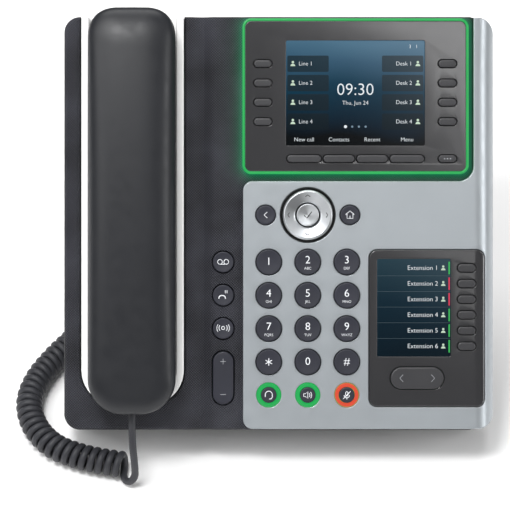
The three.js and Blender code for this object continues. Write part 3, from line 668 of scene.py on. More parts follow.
def studio():
    """A pale floor, soft lights round the phone, and the sheens on its gloss panels."""
    scene = bpy.context.scene
    scene.view_settings.view_transform = "Standard"
    scene.world = white_world()
    floor = bpy.data.objects.new("floor", from_faces(
        [(-4, -4, -0.0004), (4, -4, -0.0004), (4, 4, -0.0004), (-4, 4, -0.0004)], [(0, 1, 2, 3)]))
    scene.collection.objects.link(floor)
    material, tree, shader = new_material("studio_floor")
    shader.inputs["Base Color"].default_value = (0.97, 0.97, 0.97, 1)
    shader.inputs["Roughness"].default_value = 1
    shader.inputs["Specular IOR Level"].default_value = 0
    shader.inputs["Emission Color"].default_value = (1, 1, 1, 1)
    shader.inputs["Emission Strength"].default_value = 0.02
    floor.data.materials.append(material)
    softbox("top_light", (-0.1, 0.75, 1.35), (0, 0, 0.1), 1.3, 0.7, 13)
    softbox("crown_light", (-0.32, -0.42, 1.50), (-0.07, 0, 0.1), 0.5, 0.25, 13)
    softbox("left_light", (-0.95, -0.42, 1.18), (-0.05, 0, 0.1), 0.8, 1.0, 9)
    softbox("right_light", (1.28, -0.5, 0.68), (0.08, 0, 0.1), 0.3, 1.0, 7)
    softbox("low_light", (-0.2, -1.6, 0.7), (0, 0, 0.05), 1.2, 0.3, 1.5)
    reflected_card("main_reflection", (215, 253), 500, 160, 1.15)
    reflected_card("side_reflection", (223, 1), 150, 70, 0.07)


# ---- The curly cord ----
# Routes on the table, as points [x, y, z] of the centreline in millimetres, y from the face's lower edge.
CURL_HEIGHT = CURL_DIAMETER / 2 + 0.1
LEAD_ROUTE = [
    (-74.4, 1.3, 39), (-74.4, -5.5, 32.2), (-74, -10.8, 25.5), (-73.4, -13.2, 18), (-73.2, -13.5, 12),
    (-73.4, -13.9, 8.2), (-74.8, -14, 4.9), (-77, -13, 2.7), (-78.8, -10.6, 2.1), (-79.3, -7.7, 2.1),
]
CURL_ROUTE = [(x, y, CURL_HEIGHT) for x, y in (
    (-79, -5.4), (-91.5, -2.8), (-103.5, 1), (-115, 7.2), (-123.5, 17.2), (-128.4, 29.4), (-129, 42),
    (-125, 55.7), (-117.5, 69), (-108.5, 81.5), (-99, 93.5), (-90.5, 106.5), (-84.5, 119), (-81.8, 132),
    (-84.6, 145), (-93, 154.5), (-105, 157.5),
)]
TAIL_ROUTE = [
    (-78, 73.75, 41.34), (-78, 80.75, 34.34), (-82, 93, 27), (-90, 106, 22.6), (-98, 118, 17.6),
    (-105, 129, 11), (-109, 138.6, 5), (-110, 145, 2.4), (-108.9, 149.4, 2.8), (-107.2, 151.8, 5.4),
]


def on_table(points):
    return [Vector((x * MM, FACE_ORIGIN.y + y * MM, z * MM)) for x, y, z in points]


def evenly(points, spacing):
    """The same line with a point at every spacing along it."""
    kept = [points[0]]
    for point in points[1:]:
        while (point - kept[-1]).length >= spacing:
            kept.append(kept[-1] + (point - kept[-1]).normalized() * spacing)
    return kept + [points[-1]]


def smooth_line(points, spacing):
    """Points at even spacing on a Catmull-Rom curve through the given ones."""
    line = [2 * points[0] - points[1], *points, 2 * points[-1] - points[-2]]
    dense = []
    for p0, p1, p2, p3 in zip(line, line[1:], line[2:], line[3:]):
        for i in range(24):
            t = i / 24
            dense.append(0.5 * (2 * p1 + (p2 - p0) * t + (2 * p0 - 5 * p1 + 4 * p2 - p3) * t * t
                                + (3 * p1 - p0 - 3 * p2 + p3) * t ** 3))
    return evenly(dense + [points[-1]], spacing)


def helix(route, radius, pitch, first_angle, last_angle, steps_per_turn=22):
    """A coil round a route that lies on the table; the angles say where round it the wire starts and ends."""
    axis = smooth_line(route, 0.5 * MM)
    length = 0.5 * MM * (len(axis) - 1)
    whole = round((length / pitch) - (last_angle - first_angle) / 360)
    sweep = 360 * whole + last_angle - first_angle
    steps = int(sweep / 360 * steps_per_turn)
    upwards = Vector((0, 0, 1))
    points = []
    for step in range(steps + 1):
        at = step / steps * (len(axis) - 1)
        index = min(int(at), len(axis) - 2)
        centre = axis[index].lerp(axis[index + 1], at - index)
        ahead = (axis[min(index + 6, len(axis) - 1)] - axis[max(index - 5, 0)]).normalized()
        angle = math.radians(first_angle + sweep * step / steps)
        points.append(centre + radius * (math.cos(angle) * ahead.cross(upwards) + math.sin(angle) * upwards))
    return points


def build_cord():
    lead = smooth_line(on_table(LEAD_ROUTE), 1.4 * MM)
    radius = (CURL_DIAMETER - CORD_DIAMETER) / 2 * MM
    coil = helix(on_table(CURL_ROUTE), radius, CURL_PITCH * MM, -100, -180)
    tail = smooth_line(on_table(TAIL_ROUTE)[::-1], 1.4 * MM)
    line = lead + coil + tail
    cord = keep("curly_cord", tube(line, CORD_DIAMETER / 2 * MM, 10), CORD, None,
                ("cord_lead", "cord_curl", "cord_tail"), smooth_angle=80, flat_faces=False)
    length = sum((after - before).length for before, after in zip(line, line[1:]))
    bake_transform(cord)
    return length


# ---- Housings ----
def shell_from_cad(node, bevel_width, material, body="root"):
    """A flat-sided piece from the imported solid, with its sharp edges softened."""
    source = bpy.data.objects[node]
    mesh = source.data.copy()
    soft = bmesh.new()
    soft.from_mesh(mesh)
    bmesh.ops.remove_doubles(soft, verts=soft.verts, dist=1e-5)
    bmesh.ops.dissolve_limit(soft, angle_limit=math.radians(3), verts=soft.verts, edges=soft.edges)
    if bevel_width:
        sharp = [edge for edge in soft.edges
                 if edge.is_manifold and edge.calc_face_angle(0) > math.radians(35)]
        bmesh.ops.bevel(soft, geom=sharp, offset=bevel_width * MM, segments=3, profile=0.5, affect="EDGES",
                        clamp_overlap=True)
    soft.to_mesh(mesh)
    soft.free()
    mesh.transform(source.matrix_world)
    return keep(node + "_piece", mesh, material, body, node)


def cradle_outline(grow, high):
    left, right = CRADLE["x"] - CRADLE["width"] / 2 - grow, CRADLE["x"] + CRADLE["width"] / 2 + grow
    low, radius = CRADLE["foot"] - grow, CRADLE["corner"] + grow
    return (arc(left + radius, low + radius, radius, 180, 270, 14)
            + arc(right - radius, low + radius, radius, 270, 360, 14) + [(right, high), (left, high)])


DIAL_KEYS = {
    "1": "", "2": "ABC", "3": "DEF", "4": "GHI", "5": "JKL", "6": "MNO",
    "7": "PQRS", "8": "TUV", "9": "WXYZ", "star": "", "0": "", "hash": "",
}


def dial_place(index):
    return DIAL["x"] + (index % 3 - 1) * DIAL["pitch_x"], DIAL["top"] - index // 3 * DIAL["pitch_y"]


LEFT_PLACES = {name: (LEFT_X, DIAL["top"] - row * DIAL["pitch_y"])
               for row, name in enumerate(("message_key", "hold_key", "transfer_key"))}
LAMP_PLACES = {name: (DIAL["x"] + (index - 1) * DIAL["pitch_x"], LAMP["y"])
               for index, name in enumerate(("headset_key", "speaker_key", "mute_key"))}
NAV_PLACES = {"back_key": (NAV["x"] - NAV["keys"], NAV["y"]), "home_key": (NAV["x"] + NAV["keys"], NAV["y"])}


def with_valley(mesh):
    """A shallow valley that runs up the deck between the cradle and the displays."""
    cuts = bmesh.new()
    cuts.from_mesh(mesh)
    left = VALLEY["x"] - VALLEY["half"]
    for step in range(17):
        everything = cuts.verts[:] + cuts.edges[:] + cuts.faces[:]
        place = left + VALLEY["half"] * step / 8
        bmesh.ops.bisect_plane(cuts, geom=everything, plane_co=(place, 0, 0), plane_no=(1, 0, 0), dist=1e-4)
    for vertex in cuts.verts:
        share = (vertex.co.x - VALLEY["x"]) / VALLEY["half"]
        if abs(share) < 1 and vertex.co.z > HOUSING_TOP - 2.6:
            vertex.co.z -= VALLEY["depth"] * (1 + math.cos(math.pi * share)) / 2
    cuts.to_mesh(mesh)
    cuts.free()
    return mesh


def front_housing():
    """The dark, dotted housing, with the cradle's pocket as a notch in its outline."""
    left, right = -HALF_WIDTH, HOUSING["right"]
    high, corner = BODY["height"], BODY["corner"]
    notch = [(x, min(y, high)) for x, y in cradle_outline(GAP, high)]
    outline = (
        arc(left + corner, corner, corner, 180, 270, 10) + arc(right - 2, 2, 2, 270, 360)
        + arc(right - 2, high - 2, 2, 0, 90)
        + [notch[-2]] + notch[:-2][::-1] + [notch[-1]]
        + arc(left + corner, high - corner, corner, 90, 180, 10)
    )
    holes = [rounded(40, 64.35, 108, 119.7, 3), grown(PANEL, -4)]
    holes += [circle(x, y, LEFT_KEY_RADIUS + GAP) for x, y in LEFT_PLACES.values()]
    holes.append(grown({**VOLUME_KEY, "corner": VOLUME_KEY["width"] / 2 - 0.01}, GAP))
    deck = panel(outline, HOUSING["back"], HOUSING_TOP, holes, HOUSING["edge"], 0.7, HOUSING["wall"])
    edge = LEDGE["right"]
    side = (arc(edge - corner, corner, corner, 270, 360, 10)
            + arc(edge - corner, high - corner, corner, 0, 90, 10) + [(right - 1, high), (right - 1, 0)])
    ledge = panel(side, HOUSING["back"], LEDGE["top"], edge=0.3)
    whole = merged(with_valley(deck), ledge, roll_core())
    keep("front_housing_skin", in_row(whole), HOUSING_SKIN, "root", "front_housing",
         50)


def bent_over(mesh, top):
    """Bends a flat mesh down round the body's right-hand edge; the roll's centre lies under the face."""
    centre_x, centre_z = HALF_WIDTH - PLATE["roll"], PLATE["top"] - PLATE["roll"]
    radius = top - centre_z
    cuts = bmesh.new()
    cuts.from_mesh(mesh)
    for step in range(13):
        everything = cuts.verts[:] + cuts.edges[:] + cuts.faces[:]
        place = centre_x + radius * math.pi / 2 * step / 12
        bmesh.ops.bisect_plane(cuts, geom=everything, plane_co=(place, 0, 0), plane_no=(1, 0, 0), dist=1e-4)
    for vertex in cuts.verts:
        along = vertex.co.x - centre_x
        if along <= 0:
            continue
        reach = radius + vertex.co.z - top
        turn = min(along / radius, math.pi / 2)
        past = max(0, along - radius * math.pi / 2)
        vertex.co.x = centre_x + reach * math.sin(turn)
        vertex.co.z = centre_z + reach * math.cos(turn) - past
    cuts.to_mesh(mesh)
    cuts.free()
    return mesh


def unrolled(x, top):
    """Where a point of the plan lies on the sheet before it is bent."""
    centre_x = HALF_WIDTH - PLATE["roll"]
    radius = top - PLATE["top"] + PLATE["roll"]
    if x <= centre_x:
        return x
    return centre_x + radius * math.asin(min(1, (x - centre_x) / radius))


def rolled_side(low, high, depth):
    """The right-hand end of an outline before it is bent; past the roll its edge comes down to a depth."""
    top, corner = PLATE["top"], BODY["corner"]
    edge = unrolled(HALF_WIDTH, top) + top - PLATE["roll"] - depth
    lower = arc(HALF_WIDTH - corner, low + corner, corner, 270, 360, 14)
    upper = arc(HALF_WIDTH - corner, high - corner, corner, 0, 90, 14)
    return ([(unrolled(x, top), y) for x, y in lower] + [(edge, low + corner), (edge, high - corner)]
            + [(unrolled(x, top), y) for x, y in upper])


def roll_core():
    """The part of the housing that fills the faceplate's roll, cut away where the side keys' strip lies."""
    low, high = PLATE["foot"] + 0.25, BODY["height"] - PLATE["foot"] - 0.25
    left, notch = CORE["left"], CORE["notch"]
    outline = ([(left, low)] + rolled_side(low, high, LEDGE["top"])
               + [(left, high), (left, CORE["high"] + 2), (notch, CORE["high"]), (notch, CORE["low"]),
                  (left, CORE["low"] - 2)])
    return bent_over(panel(outline, CORE["back"], PLATE["bottom"] - 0.06, edge=0.2), PLATE["top"])


def faceplate():
    """The silver plate, rolled down over the right-hand side, with its keys' holes and the side display's."""
    left, low, high = PLATE["left"], PLATE["foot"], BODY["height"] - PLATE["foot"]
    top, inner = PLATE["top"], 7.5
    outline = (
        arc(left + 5, low + 5, 5, 180, 270) + rolled_side(low, high, PLATE["side"])
        + [(RAIL_LEFT, high)]
        + arc(RAIL_LEFT - inner, PLATE["head"] + inner, inner, 0, -90, 12)
        + arc(left + 5, PLATE["head"] - 5, 5, 90, 180)
    )
    holes = [circle(*dial_place(index), DIAL["radius"] + GAP) for index in range(12)]
    holes += [circle(x, y, NAV_KEY_RADIUS + GAP) for x, y in NAV_PLACES.values()]
    holes += [circle(x, y, LAMP["ring"] + GAP) for x, y in LAMP_PLACES.values()]
    holes.append(circle(NAV["x"], NAV["y"], NAV["rim"], 96))
    holes.append([(unrolled(x, top), y) for x, y in grown(SIDE_PANEL, GAP)])
    mesh = bent_over(panel(outline, PLATE["bottom"], top, holes, edge=0.6, hole_edge=0.45), top)
    keep("faceplate_skin", in_row(mesh), SILVER, "root", "faceplate", 50)


def rear_housing():
    outline = rounded(0, BODY["height"] / 2, BODY["width"], BODY["height"], BODY["corner"], 10)
    holes = [rounded(78, 62, 8, 7, 0.5), rounded(0, 96, 78 + 2 * GAP, 12 + 2 * GAP, 0.6)]
    for row in range(9):
        holes.append(capsule(58, 140 + row * 4.6, 44, 1.8))
    for x in (-48, 48):
        holes.append(capsule(x, 188, 4.4, 10))
    mesh = panel(outline, 20.3, 34, holes, edge=2.2, hole_edge=0.4, wall=2.4)
    mesh.transform(Matrix.Rotation(math.pi, 4, "Y"))
    keep("rear_housing_skin", in_row(mesh), REAR_PLASTIC, "root", "rear_housing", 50)


def cradle():
    """A white tray, open at the head end, with a hole for the hook plunger."""
    high, wall = BODY["height"] - 0.4, CRADLE["wall"]
    outer = cradle_outline(0, high)
    inner = cradle_outline(-wall, high)
    rim = outer[:-1] + [inner[-2]] + inner[:-2][::-1] + [inner[-1], outer[-1]]
    walls = panel(rim, CRADLE["floor"] - 0.2, CRADLE["top"], edge=0.7)
    floor = panel(cradle_outline(-0.05, high - 0.05), CRADLE["back"], CRADLE["floor"],
                  [circle(CRADLE["x"], 166, 3.4)], edge=0.05, hole_edge=0.3)
    keep("cradle_tray", in_row(merged(walls, floor)), WHITE, "root", "cradle_insert", 50)


# ---- Displays ----


def soft_places():
    places, left = {}, SOFT_KEY["first"]
    for index, width in enumerate(SOFT_KEY["widths"]):
        places[f"soft_key_{index + 1}"] = (left + width / 2, SOFT_KEY["y"], width, SOFT_KEY["height"])
        left += width + SOFT_KEY["gap"]
    places["more_key"] = (LINE_COLUMNS["right"], SOFT_KEY["y"], LINE_KEY["width"], SOFT_KEY["height"])
    return places


def line_rows(top, pitch, count):
    return [top - row * pitch for row in range(count)]


def displays():
    slots = [capsule(x, y, LINE_KEY["width"] + 2 * GAP, LINE_KEY["height"] + 2 * GAP)
             for x in LINE_COLUMNS.values() for y in line_rows(LINE_KEY["top"], LINE_KEY["pitch"], 4)]
    slots += [capsule(x, y, w + 2 * GAP, h + 2 * GAP) for x, y, w, h in soft_places().values()]
    slots.append(grown(SCREEN, 0.15))
    mesh = panel(grown(PANEL, -RING_WIDTH - 0.05), PLATE["bottom"], PANEL_TOP, slots, edge=0.5,
                 hole_edge=0.3)
    keep("display_bezel", in_row(mesh), GLOSS, "root", "display_panel", 50)
    ring = panel(grown(PANEL, 0), PLATE["bottom"], 3.0, [grown(PANEL, -RING_WIDTH)], edge=0.5, hole_edge=0.3)
    keep("green_light_ring", in_row(ring), GREEN_GLOW, "root", "status_light_ring", 50)
    glass = panel(grown(SCREEN, 0), -1.5, PANEL_TOP - 0.25, edge=0.1)
    back = panel(rounded(SCREEN["x"], SCREEN["y"], 76, 58, 1), -5.5, -1.6, edge=0.1)
    keep("main_screen_glass", in_row(merged(glass, back)), MAIN_PICTURE, "root", "main_screen")

    top = SIDE_PANEL_TOP
    slots = [capsule(SIDE_KEY["x"], y, SIDE_KEY["width"] + 2 * GAP, SIDE_KEY["height"] + 2 * GAP)
             for y in line_rows(SIDE_KEY["top"], SIDE_KEY["pitch"], SIDE_KEY["count"])]
    slots.append(capsule(PAGE_KEY["x"], PAGE_KEY["y"], PAGE_KEY["width"] + 2 * GAP,
                         PAGE_KEY["height"] + 2 * GAP))
    slots.append(grown(SIDE_SCREEN, 0.15))
    slots = [[(unrolled(x, top), y) for x, y in slot] for slot in slots]
    outline = [(unrolled(x, top), y) for x, y in grown(SIDE_PANEL, 0)]
    mesh = bent_over(panel(outline, PLATE["bottom"], top, slots, edge=0.5, hole_edge=0.3), top)
    keep("side_bezel", in_row(mesh), GLOSS, "root", "side_panel", 50)
    glass = panel(grown(SIDE_SCREEN, 0), -1.5, top - 0.25, edge=0.1)
    back = panel(rounded(SIDE_SCREEN["x"], SIDE_SCREEN["y"], 40, 53, 1), -5.5, -1.6, edge=0.1)
    keep("side_screen_glass", in_row(merged(glass, back)), SIDE_PICTURE, "root", "side_screen")


def person_icon(x, y, size, height):
    head = turned(x, y + size * 0.28, [(0, height), (size * 0.22, height), (size * 0.22, height + 0.05),
                                      (0, height + 0.05)], 16)
    shoulders = arc(x, y - size * 0.42, size * 0.42, 0, 180, 12)
    return merged(head, panel(shoulders, height, height + 0.05, edge=0.01))


def on_screen(name, meshes, material):
    keep(name, in_row(merged(*meshes)), material, "root", ())


def screen_pictures():
    """What the lit screens show: generic names, a clock, soft labels and status bars."""
    base = PANEL_TOP - 0.25
    rows = line_rows(LINE_KEY["top"], LINE_KEY["pitch"], 4)
    left, right = SCREEN["x"] - SCREEN["width"] / 2, SCREEN["x"] + SCREEN["width"] / 2
    tiles, words, persons = [], [], []
    for index, y in enumerate(rows):
        tiles.append(panel(rounded(left + 11, y, 21, 8.3, 0.8), base - 0.05, base + 0.03, edge=0.01))
        tiles.append(panel(rounded(right - 11, y, 21, 8.3, 0.8), base - 0.05, base + 0.03, edge=0.01))
        words.append(lettering(f"Line {index + 1}", left + 6.2, y, 2.9, base + 0.08, align="LEFT"))
        words.append(lettering(f"Desk {index + 1}", right - 6.2, y, 2.9, base + 0.08, align="RIGHT"))
        persons.append(person_icon(left + 3.3, y, 2.9, base + 0.05))
        persons.append(person_icon(right - 3.3, y, 2.9, base + 0.05))
    words.append(lettering("09:30", SCREEN["x"], 172.6, 8.6, base + 0.08, 0.1))
    words.append(lettering("Thu, Jun 24", SCREEN["x"], 166, 2.9, base + 0.08))
    words.append(lettering("3   1", right - 5.6, 194.6, 2.5, base + 0.08))
    for (x, _, _, _), text in zip(list(soft_places().values())[:4],
                                  ("New call", "Contacts", "Recent", "Menu")):
        words.append(lettering(text, x, 147.4, 2.9, base + 0.08))
    dots = [turned(SCREEN["x"] - 5 + index * 3.4, 154, [
        (0, base), (size, base), (size, base + 0.06), (0, base + 0.06)], 16)
        for index, size in enumerate((0.8, 0.55, 0.55, 0.55))]
    words.append(dots[0])
    on_screen("main_screen_page_dots", dots[1:], FAINT_DOT)
    on_screen("main_screen_tiles", tiles, TILE)
    on_screen("main_screen_words", words, SCREEN_TEXT)
    on_screen("main_screen_people", persons, PERSON)

    base = SIDE_PANEL_TOP - 0.25
    right = SIDE_SCREEN["x"] + SIDE_SCREEN["width"] / 2
    words, persons, bars = [], [], []
    for index, y in enumerate(line_rows(SIDE_KEY["top"], SIDE_KEY["pitch"], SIDE_KEY["count"])):
        words.append(lettering(f"Extension {index + 1}", right - 6.2, y, 3.3, base + 0.08, align="RIGHT"))
        persons.append(person_icon(right - 3.6, y, 2.7, base + 0.05))
        bars.append(panel(rounded(right - 0.6, y, 0.7, 6.4, 0.2), base - 0.02, base + 0.06, edge=0.01))
    dividers = [panel(rounded(SIDE_SCREEN["x"], y, SIDE_SCREEN["width"], 0.14, 0.05), base - 0.02,
                      base + 0.03, edge=0.01)
                for y in line_rows(SIDE_KEY["top"] - SIDE_KEY["pitch"] / 2, SIDE_KEY["pitch"], 5)]
    on_screen("side_screen_dividers", dividers, DIVIDER)
    on_screen("side_screen_words", words, SCREEN_TEXT)
    on_screen("side_screen_people", persons, PERSON)
    on_screen("side_screen_busy_bars", bars[1:3], RED_BAR)
    on_screen("side_screen_free_bars", [bars[3], bars[0], *bars[4:]], GREEN_BAR)


# ---- Keys ----


def round_key(name, place, radius, top, flange_top, flange=0.8, dish=0.25, edge=0.5):
    profile = soft_profile(radius, flange_top - 1, top, edge, dish)
    if flange:
        profile[1:2] = [(radius + flange, flange_top - 1), (radius + flange, flange_top),
                        (radius, flange_top)]
    keep(name + "_cap", in_row(turned(*place, profile)), KEY, name, name)


def long_key(name, places, top, strip_top, strip=None, material=PANEL_KEY):
    """One or more capsule caps on the strip that holds them."""
    caps = [panel(capsule(x, y, w, h), strip_top - 0.5, top, edge=0.7) for x, y, w, h in places]
    if strip:
        caps.append(panel(rounded(*strip, 0.8), strip_top - 1.2, strip_top, edge=0.1))
    keep(name + "_cap", in_row(merged(*caps)), material, name, name, 50)


def mark(name, mesh, body, material=None):
    keep(name + "_mark", in_row(mesh), material or MARK, body)


def handset_sign(x, y, size, height):
    """A small handset seen from the side."""
    bow = arc(x, y - size * 0.9, size * 1.25, 140, 40, 10)
    lines = [bow, [bow[0], (bow[0][0] - size * 0.1, bow[0][1] - size * 0.6)],
             [bow[-1], (bow[-1][0] + size * 0.1, bow[-1][1] - size * 0.6)]]
    return strokes(lines, height, 0.55)


def key_symbols():
    def at(place, lines):
        return [[(place[0] + x, place[1] + y) for x, y in line] for line in lines]

    nav_height = KEY_TOPS["nav"] - 0.2
    mark("back_key", strokes(at(NAV_PLACES["back_key"], [[(0.8, 1.5), (-0.8, 0), (0.8, -1.5)]]),
                             nav_height), "back_key")
    mark("home_key", strokes(at(NAV_PLACES["home_key"], [
        [(-2.2, 0.2), (0, 2.1), (2.2, 0.2)], [(-1.5, 0.5), (-1.5, -1.7), (1.5, -1.7), (1.5, 0.5)],
        [(0, -1.6), (0, -0.4)],
    ]), nav_height), "home_key")

    lamp_height = KEY_TOPS["lamp"] - 0.15
    mark("headset_key", strokes(at(LAMP_PLACES["headset_key"], [
        arc(0, 0.2, 1.8, 200, -20, 14), [(-1.8, 0.4), (-1.8, -1)], [(1.8, 0.4), (1.8, -1)],
        [(1.8, -1), (1.2, -1.9), (0.2, -2)],
    ]), lamp_height, 0.45), "headset_key")
    mark("speaker_key", strokes(at(LAMP_PLACES["speaker_key"], [
        [(-2.1, 0.7), (-1.2, 0.7), (0, 1.7), (0, -1.7), (-1.2, -0.7), (-2.1, -0.7), (-2.1, 0.7)],
        arc(-0.2, 0, 1.3, 45, -45), arc(-0.2, 0, 2.2, 45, -45),
    ]), lamp_height, 0.4), "speaker_key")
    mark("mute_key", strokes(at(LAMP_PLACES["mute_key"], [
        [(-0.6, 0), (-0.6, 1.3), (0, 1.9), (0.6, 1.3), (0.6, 0), (0, -0.6), (-0.6, 0)],
        arc(0, 0, 1.4, 180, 360), [(0, -1.4), (0, -2.2)], [(-1.9, -1.9), (1.9, 1.9)],
    ]), lamp_height, 0.4), "mute_key")

    left_height = KEY_TOPS["left"] - 0.2
    mark("message_key", strokes(at(LEFT_PLACES["message_key"], [
        circle(-1.6, 0.1, 1.2, 20) + [(-0.4, 0.1)], circle(1.6, 0.1, 1.2, 20) + [(2.8, 0.1)],
        [(-1.6, -1.1), (1.6, -1.1)],
    ]), left_height), "message_key")
    hold = LEFT_PLACES["hold_key"]
    mark("hold_key", merged(
        handset_sign(hold[0] - 0.5, hold[1] - 0.6, 1.6, left_height),
        strokes(at(hold, [[(1.1, 2.6), (1.1, 1)], [(2, 2.6), (2, 1)]]), left_height)), "hold_key")
    mark("transfer_key", strokes(at(LEFT_PLACES["transfer_key"], [
        circle(0, 0.3, 0.8, 14) + [(0.8, 0.3)], arc(0, 0.3, 2.1, 140, 220), arc(0, 0.3, 2.1, -40, 40),
        arc(0, 0.3, 3.2, 145, 215), arc(0, 0.3, 3.2, -35, 35),
    ]), left_height), "transfer_key")

    x, y = VOLUME_KEY["x"], VOLUME_KEY["y"]
    mark("volume_key", strokes([
        [(x - 1.4, y + 8.4), (x + 1.4, y + 8.4)], [(x, y + 9.8), (x, y + 7)],
        [(x - 1.4, y - 8.4), (x + 1.4, y - 8.4)],
    ], KEY_TOPS["volume"], 0.3), "volume_key", DIM_MARK)
    x, y = PAGE_KEY["x"], PAGE_KEY["y"]
    mark("page_key", strokes([
        [(x - 7.2, y + 1.8), (x - 8.8, y), (x - 7.2, y - 1.8)],
        [(x + 7.2, y + 1.8), (x + 8.8, y), (x + 7.2, y - 1.8)],
    ], KEY_TOPS["page"], 0.3), "page_key", DIM_MARK)
    x, y = LINE_COLUMNS["right"], SOFT_KEY["y"]
    mark("more_key", merged(*[
        turned(x + step, y, soft_profile(0.36, 4.2, 4.42, 0.1), 16) for step in (-1.5, 0, 1.5)]),
        "more_key", DIM_MARK)


def star_sign(x, y, height):
    """The six arms of the star key's sign."""
    arms = [[(x - reach_x, y - reach_y), (x + reach_x, y + reach_y)]
            for reach_x, reach_y in ((0, 1.9), (1.65, 0.95), (-1.65, 0.95))]
    return strokes(arms, height, 0.42)


def keys():
    for index, (label, letters) in enumerate(DIAL_KEYS.items()):
        name, place = f"dial_key_{label}", dial_place(index)
        round_key(name, place, DIAL["radius"], KEY_TOPS["dial"], -1.8)
        x, y = place
        lift = 1.0 if letters else 0.2
        digit = "#" if label == "hash" else label
        printed = [star_sign(x, y, 2.44) if label == "star" else lettering(digit, x, y + lift, 5.6, 2.44)]
        if letters:
            printed.append(lettering(letters, x, y - 3.2, 1.9, 2.46))
        mark(name, merged(*printed), name)
    for name, place in NAV_PLACES.items():
        round_key(name, place, NAV_KEY_RADIUS, KEY_TOPS["nav"], -1.8)
    for name, place in LAMP_PLACES.items():
        round_key(name, place, LAMP["key"], KEY_TOPS["lamp"], -5.2, flange=0, dish=0.1)
    for name, place in LEFT_PLACES.items():
        round_key(name, place, LEFT_KEY_RADIUS, KEY_TOPS["left"], -4.4)
    strip_top = PLATE["bottom"] - 0.5
    for name, place in soft_places().items():
        x, y, w, h = place
        long_key(name, [place], KEY_TOPS["panel"], strip_top, (x, y, w - 0.4, h + 1.8))
    for side, x in LINE_COLUMNS.items():
        rows = line_rows(LINE_KEY["top"], LINE_KEY["pitch"], 4)
        middle, length = (rows[0] + rows[-1]) / 2, rows[0] - rows[-1] + LINE_KEY["height"] + 1.6
        long_key(f"line_keys_{side}", [(x, y, LINE_KEY["width"], LINE_KEY["height"]) for y in rows],
                 KEY_TOPS["panel"], strip_top, (x, middle, LINE_KEY["width"] + 1.4, length))
    rows = line_rows(SIDE_KEY["top"], SIDE_KEY["pitch"], SIDE_KEY["count"])
    middle, length = (rows[0] + rows[-1]) / 2, rows[0] - rows[-1] + SIDE_KEY["height"] + 1.6
    long_key("side_line_keys", [(SIDE_KEY["x"], y, SIDE_KEY["width"], SIDE_KEY["height"]) for y in rows],
             KEY_TOPS["side"], strip_top, (SIDE_KEY["x"], middle, SIDE_KEY["width"] + 1.4, length))
    for name, key, bottom, top in (("page_key", PAGE_KEY, -2.5, KEY_TOPS["page"]),
                                   ("volume_key", VOLUME_KEY, -5, KEY_TOPS["volume"])):
        cap = panel(capsule(key["x"], key["y"], key["width"], key["height"]), bottom, top, edge=0.8)
        material = KEY if name == "volume_key" else PANEL_KEY
        keep(name + "_cap", in_row(cap), material, name, name, 50)
    key_symbols()


def navigation():
    """The spun metal ring, its black well and the select key in its middle."""
    x, y = NAV["x"], NAV["y"]
    outer, hole = NAV["ring"], NAV["hole"]
    ring = turned(x, y, [
        (hole, -2.4), (outer, -2.4), (outer, 1.5), (outer - 0.25, 2.1), (outer - 0.8, 2.5),
        (outer - 1.3, 2.6),
        (hole + 1.2, 1.55), (hole + 0.5, 1.4), (hole + 0.1, 1.1), (hole, 0.8), (hole, -2.4),
    ], 128)
    keep("nav_ring_metal", in_row(ring), METAL, "nav_ring", "nav_ring", 40)
    well = turned(x, y, [(0, -4.8), (NAV["rim"] - 0.4, -4.8), (NAV["rim"] - 0.4, -3.3), (0, -3.3)], 64)
    keep("nav_well", in_row(well), BLACK, "nav_gimbal", "nav_gimbal")
    lip = turned(x, y, [
        (NAV["ring"] + 0.75, -1.5), (NAV["rim"] - 0.05, -1.5), (NAV["rim"] - 0.05, 1.35),
        (NAV["rim"] - 0.2, 1.5),
        (NAV["ring"] + 0.9, 1.5), (NAV["ring"] + 0.75, 1.35), (NAV["ring"] + 0.75, -1.5)], 128)
    keep("nav_rim", in_row(lip), BLACK, "root", ())
    select = turned(x, y, soft_profile(NAV["select"], -6, 1.9, 0.5, 0.35))
    keep("select_key_cap", in_row(select), METAL, "select_key", "select_key")
    tick = [[(x - 1.8, y - 0.2), (x - 0.5, y - 1.6), (x + 2, y + 1.6)]]
    mark("select_key", strokes(tick, 1.66, 0.5), "select_key", BLACK)
    chevrons = []
    for quarter_turn in range(4):
        angle = quarter_turn * math.pi / 2
        along = Vector((math.cos(angle), math.sin(angle)))
        across = Vector((-math.sin(angle), math.cos(angle)))
        tip, root = Vector((x, y)) + along * 10.2, Vector((x, y)) + along * 9.3
        chevrons.append([tuple(root + across * 1.2), tuple(tip), tuple(root - across * 1.2)])
    mark("nav_ring", strokes(chevrons, 2.18, 0.4), "nav_ring", BLACK)
    rings = []
    for name, place in LAMP_PLACES.items():
        inside, outside = LAMP["key"] + 0.2, LAMP["ring"]
        profile = [(inside, -4), (outside, -4), (outside, 1.4), (outside - 0.3, 1.7), (inside + 0.2, 1.7),
                   (inside, 1.5), (inside, -4)]
        rings.append((name, turned(*place, profile)))
    bar = panel(rounded(DIAL["x"], LAMP["y"], 2 * DIAL["pitch_x"] + 16, 13, 4), -5.4, -4.05, edge=0.1)
    greens = in_row(merged(rings[0][1], rings[1][1], bar))
    keep("green_lamp_rings", greens, GREEN_GLOW, "root", "lamp_key_rings")
    keep("red_lamp_ring", in_row(rings[2][1]), RED_GLOW, "root", ())


# ---- Handset ----
def brow_corner(x, half, high, reach, side):
    """One corner of the handset's ear end, a little squarer than a circle, over a slightly domed top edge."""
    points = []
    for across, up in arc(0, 0, 1, 0, 90, 16):
        out = half - reach + reach * across ** (2 / 2.5) if across > 1e-6 else 0
        points.append((x + side * out, high - reach * (1 - max(up, 0) ** (2 / 2.5))))
    return points


